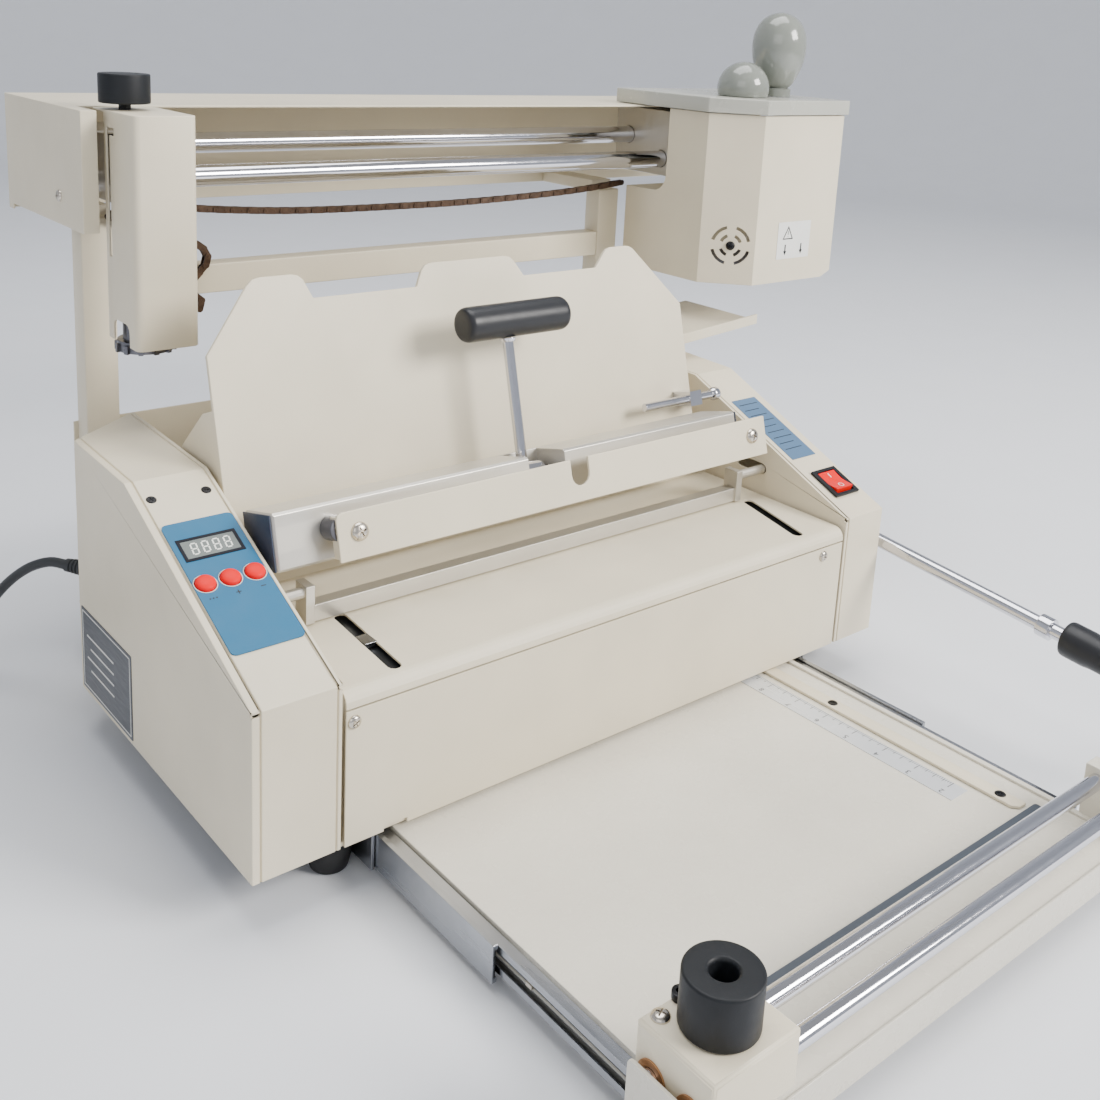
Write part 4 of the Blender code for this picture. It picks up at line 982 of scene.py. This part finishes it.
def make_runners():
    """The inner drawer rails: channels that open outwards, with ball grooves and stops."""
    for side, sign in (("left", -1), ("right", 1)):
        web, lip = 179.4, 185.8
        section = [(web, -4.4), (lip, -4.4), (lip, -8.6), (lip - 1.1, -8.6), (lip - 1.1, -5.5), (web, -5.5)]
        low = [(x, -25.6 - z) for x, z in section]
        grooves = [(web, -9.6), (web + 1.6, -10.2), (web + 1.6, -15.4), (web, -16.0)]
        parts = [
            plate([(sign * x, z) for x, z in outline], "Y", -252.0 if sign < 0 else -226.0, 9.2)
            for outline in (section, low, grooves)
        ]
        piece(f"{side}_inner_rail", merge(*parts), "zinc_steel", "tray", edge=0.2)
        # black strips on each rail's web paint the shade seen through its slots
        slots = [
            plate(rectangle((y, y + long), (-14.6, -11.0), 1.7, 4), "X", *sorted((sign * 181.0, sign * 181.3)))
            for y, long in ((-218, 26), (-168, 26), (-120, 12), (-84, 26))
        ]
        piece(f"{side}_rail_slot_painted_shade", merge(*slots), "print_black", "tray")
        stops = [
            block(sorted((sign * 181.0, sign * 184.4)), (y, y + 5), (-14.0, -11.6)) for y in (-232, -136)
        ]
        piece(f"{side}_rail_stops", merge(*stops), "nickel", "tray", edge=0.3)


def make_ruler():
    strip = plate(rectangle(RULER_X, RULER_Y), "Z", TRAY_TOP, TRAY_TOP + 0.45)
    piece("ruler", strip, "ruler_metal", "tray", edge=0.08)
    top = TRAY_TOP + 0.45
    ticks = []
    for number in range(int((RULER_Y[1] - TWO_INCHES_Y) / INCH * 16) + 1):
        y = TWO_INCHES_Y + number * INCH / 16
        long = 7.0 if number % 16 == 0 else 5.2 if number % 8 == 0 else 3.8 if number % 4 == 0 else 2.4
        thin = 0.16 if number % 4 else 0.24
        end = RULER_X[1] - 0.4
        ticks.append(block((end - long, end), (y - thin, y + thin), (top - 0.05, top + 0.04)))
    piece("ruler_ticks", merge(*ticks), "print_black", "tray")
    figures = [figure(2 + k, (RULER_X[0] + 1.2, TWO_INCHES_Y + k * INCH, top)) for k in range(7)]
    piece("ruler_figures", merge(*figures), "print_black", "tray")


def figure(number, at, height=4.6):
    """A number that reads along +Y, centred on its own width."""
    text = bpy.data.curves.new("figure", "FONT")
    text.body = str(number)
    text.size = height * 1.35
    text.align_x = "CENTER"
    text.extrude = 0.03
    x, y, z = at
    return moved(filled(text), shift((x + height, y, z)) @ spin(90, "Z"))


def make_crease_head():
    shell("crease_block", 0.5, 3)
    knob = [(0, 58), (6.5, 58), (6.5, 72.6), (7.6, 74), (18.5, 74), (18.5, 47.4), (4, 47.4), (4, 38), (0, 38)]
    turned_piece("crease_knob", fillet(knob, 1.5, 4), (-176, -251.6, 0))
    wheel = [(0, 10.3), (2.5, 10.3), (2.5, 2.0), (9.0, 2.0), (10.2, 0.6), (10.2, -0.6), (9.0, -2.0)]
    wheel = fillet(wheel, 0.3)
    wheel += [(2.5, -2.0), (2.5, -10.3), (0, -10.3)]
    turned_piece("crease_wheel", wheel, (-176, -251.6, 9.6), (0, 1, 0))
    bushings = []
    for node in ("crease_rod_front", "crease_rod_rear"):
        middle = node_limits(node)[2]
        bushings.append(lathe(band(5.3, 8.4, 0.0, 0.9), (-203.0, middle.y, middle.z), (-1, 0, 0), 40))
    piece("crease_bushings", merge(*bushings), "copper", "crease_head", sharp=32.0)
    screws("crease_pan_screw", "pan", [((-194, -234, 47), (0, 0, 1), 4.6, 25)], "crease_head")
    socket = [((-179.5, -231.4, 47), (0, 0, 1), 4.2, 10)]
    screws("crease_socket_screw", "socket", socket, "crease_head", "black_oxide")


# ---- the mains cord

CORD_RADIUS = 3.5
CORD_Z = FLOOR + CORD_RADIUS + 0.1
COIL_RADIUS = 38.5  # middle of the turns
CORD_LEAD = 27.3  # from the route's last point to where the coil starts
CORD_ROUTE = [
    (-263.55, 301.02, 72.0),
    (-271.5, 312.4, 71.9),
    (-281.0, 326.0, 65.0),
    (-290.0, 339.0, 53.0),
    (-298.0, 350.5, 38.0),
    (-305.0, 361.0, 20.0),
    (-312.5, 372.0, 2.0),
    (-321.0, 384.5, -14.0),
    (-332.0, 400.5, -24.8),
    (-345.0, 419.5, CORD_Z),
]
PLUG_ANGLE = 200.0  # round the coil, where the cord leaves it
COIL_SLOTS = ((1, 0), (-1, 0), (-1, 1), (-1, 2), (1, 2), (1, 1))  # side of the middle, and layer


def coil_centre():
    heading = (Vector(CORD_ROUTE[-1]) - Vector(CORD_ROUTE[-2])).to_2d().normalized()
    left = Vector((-heading.y, heading.x))
    centre = Vector(CORD_ROUTE[-1]).to_2d() + left * (COIL_RADIUS + CORD_RADIUS) + heading * CORD_LEAD
    start = atan2(-left.y, -left.x)
    return centre, start


def coil_turns():
    """Points round the coil: five turns and a half, each in its own place in the section."""
    centre, start = coil_centre()
    span = (radians(PLUG_ANGLE) - start) % tau
    whole = tau * (len(COIL_SLOTS) - 1) + span
    steps_per_turn = 48
    count = round(whole / tau * steps_per_turn)
    wide = radians(72)  # of the stretch where the cord moves to its next place
    free = tau - span
    stagger = (free - wide) / (len(COIL_SLOTS) - 2)
    points = []
    for step in range(count + 1):
        angle = whole * step / count
        place = 0.0
        for change in range(len(COIL_SLOTS) - 1):
            begins = tau * change + span + stagger * (len(COIL_SLOTS) - 2 - change)
            t = min(max((angle - begins) / wide, 0.0), 1.0)
            place += t * t * t * (t * (6 * t - 15) + 10)
        slot = min(int(place), len(COIL_SLOTS) - 2)
        share = place - slot
        (side_a, layer_a), (side_b, layer_b) = COIL_SLOTS[slot], COIL_SLOTS[slot + 1]
        radius = COIL_RADIUS + CORD_RADIUS * (side_a * (1 - share) + side_b * share)
        height = CORD_Z + 2 * CORD_RADIUS * (layer_a * (1 - share) + layer_b * share)
        around = start + angle
        x, y = centre.x + radius * cos(around), centre.y + radius * sin(around)
        points.append(Vector((x, y, height)))
    return points


def plug_place():
    """Where the cord meets the plug, and the way it points there."""
    centre, _ = coil_centre()
    angle = radians(PLUG_ANGLE)
    spoke = Vector((cos(angle), sin(angle)))
    ahead = Vector((-spoke.y, spoke.x))
    tip = centre + spoke * (COIL_RADIUS + CORD_RADIUS) + ahead * CORD_LEAD
    return Vector((*tip, FLOOR + 14.0)), Vector((*ahead, 0.0))


def cord_line():
    tip, ahead = plug_place()
    turns = coil_turns()
    lead_in = through(CORD_ROUTE, 4)
    way = (turns[0] - lead_in[-1]).normalized()
    bridge = [lead_in[-1] + way * 9.0, lead_in[-1] + way * 18.0]
    last = turns[-1]
    bridge_out = [last.lerp(tip, share) for share in (0.33, 0.66)]
    for point, share in zip(bridge_out, (0.33, 0.66)):
        point.z = last.z + (tip.z - last.z) * share * share * (3 - 2 * share)
    return [*lead_in, *bridge, *turns, *bridge_out, tip + ahead * 2.0]


def make_cord():
    line = cord_line()
    cord = piece(
        "mains_lead", tube(line, CORD_RADIUS, 16), "cord_rubber", "frame",
        stands_for=("mains_cord", "cord_coil"), sharp=60.0,
    )
    extras = [make_gland(), make_plug(), make_tie()]
    return cord, extras, [list(MACHINE @ point) for point in line]


def make_gland():
    slant = atan2(38.0, 54.5)
    out = Vector((-sin(slant), cos(slant), 0))
    face = Vector((-245.0, 257.0 + 25.0 * tan(slant), 72.0))
    profile = [(3.6, 32), (4.6, 32)]
    for ring in range(6):
        h = 29.5 - 3.0 * ring
        r = 4.75 + (29.5 - h) * 0.095
        profile += [(r, h), (r, h - 1.4), (r - 0.7, h - 1.7), (r - 0.6, h - 2.7)]
    profile += [(6.6, 11.4), (8, 11), (8, 4), (11, 3.6), (11, 0.4), (3.6, 0.4)]
    shape = lathe(profile, face, out, 40)
    return piece("cord_gland_skin", shape, "cord_rubber", "frame", stands_for=("cord_gland",), sharp=40.0)


def make_plug():
    tip, ahead = plug_place()
    place = MACHINE @ shift(tip) @ Matrix.Rotation(atan2(ahead.y, ahead.x), 4, "Z")
    outline = fillet([(20, -10), (30, -15), (58, -15), (58, 15), (30, 15), (20, 10)], 5.0, 5, closed=True)
    body = plate(outline, "Z", -13.5, 13.5)
    relief = [(0, 24), (8.5, 24), (8.2, 18.5)]
    for ring in range(4):
        x = 17.0 - 3.9 * ring
        r = 7.8 - 0.75 * ring
        relief += [(r, x), (r - 0.2, x - 1.9), (r - 1.2, x - 2.2), (r - 1.2, x - 3.4)]
    relief += [(4.5, 1.0), (4.4, 0.0), (0, 0)]
    shape = merge(body, lathe(relief, (0, 0, 0), (1, 0, 0), 40))
    plug = piece("plug_body", shape, "cord_rubber", "frame", place, 1.6, 4, 55.0, ("mains_plug",))
    blades = [block((57.5, 75), (y - 0.8, y + 0.8), (-3, 3)) for y in (-6.3, 6.3)]
    blades.append(bar((57.5, 0, 8), (75, 0, 8), 2.4, 0.8, 24))
    pins = piece("plug_blades", merge(*blades), "nickel", "frame", place, sharp=35.0)
    pins.parent = plug
    pins.matrix_parent_inverse = plug.matrix_world.inverted()
    return plug


def make_tie():
    """A band round the coil's turns."""
    centre, _ = coil_centre()
    angle = radians(300)
    half_r, half_z = 2 * CORD_RADIUS + 0.35, 3 * CORD_RADIUS + 0.1
    outline = fillet(
        [(-half_r, -half_z), (half_r, -half_z), (half_r, half_z), (-half_r, half_z)], 3.4, 6, closed=True
    )
    hole = [(x * (half_r - 0.9) / half_r, z * (half_z - 0.9) / half_z) for x, z in outline][::-1]
    strap = plate(outline, "Y", -5.0, 5.0, [hole])
    middle = centre + COIL_RADIUS * Vector((cos(angle), sin(angle)))
    middle = Vector((*middle, FLOOR + half_z + 0.1))
    strap.transform(shift(middle) @ Matrix.Rotation(angle, 4, "Z"))
    return piece("coil_tie", strap, "black_rubber", "frame", edge=0.2)


# ---- the scene


def make_stage():
    """A pale floor that rises into a backdrop all round."""
    profile = [(4.6, 4.6), (4.6, 3.4)] + arc((3.2, 1.4), 1.4, 0, -90, 14) + [(0.0, 0.0)]
    shape = lathe(profile, steps=96)
    mesh = mesh_of(shape, "floor")
    mesh.shade_smooth()
    floor = bpy.data.objects.new("floor", mesh)
    link(floor)
    mesh.materials.append(surface("floor", (0.90, 0.91, 0.93), 0.6, drift=0.01, grain=0.02))


def area_light(name, at, target, size, power, colour=(1.0, 1.0, 1.0)):
    data = bpy.data.lights.new(name, "AREA")
    data.shape = "RECTANGLE"
    data.size, data.size_y = size
    data.energy = power
    data.color = colour
    light = bpy.data.objects.new(name, data)
    light.location = at
    light.rotation_euler = (Vector(target) - Vector(at)).to_track_quat("-Z", "Y").to_euler()
    link(light)


def make_lights():
    middle = (0.0, 0.0, 0.2)
    area_light("key", (1.1, -1.9, 1.5), middle, (1.1, 0.9), 98.0, (1.0, 0.97, 0.93))
    area_light("fill", (-1.8, -1.2, 1.3), middle, (1.6, 1.2), 9.0, (1.0, 0.985, 0.96))
    area_light("top", (0.1, 0.3, 2.4), middle, (2.0, 1.4), 52.0)
    world = bpy.data.worlds.new("world")
    world.use_nodes = True
    sky = (*linear(0.93, 0.94, 0.96), 1.0)
    set_inputs(world.node_tree.nodes["Background"], Color=sky, Strength=0.54)
    bpy.context.scene.world = world


make_camera()
LOOKS = make_looks()
CORD, CORD_PIECES, CORD_PATH = make_cord()
make_feet()
make_sheet_metal()
make_housings()
make_rails()
make_chain()
make_slides()
make_overlay()
make_buttons()
make_switch()
make_labels()
make_frame_screws()
make_press()
make_clamp()
make_clamp_lever()
make_milling_head()
make_tank()
make_tray()
make_crease_head()
make_stage()
make_lights()
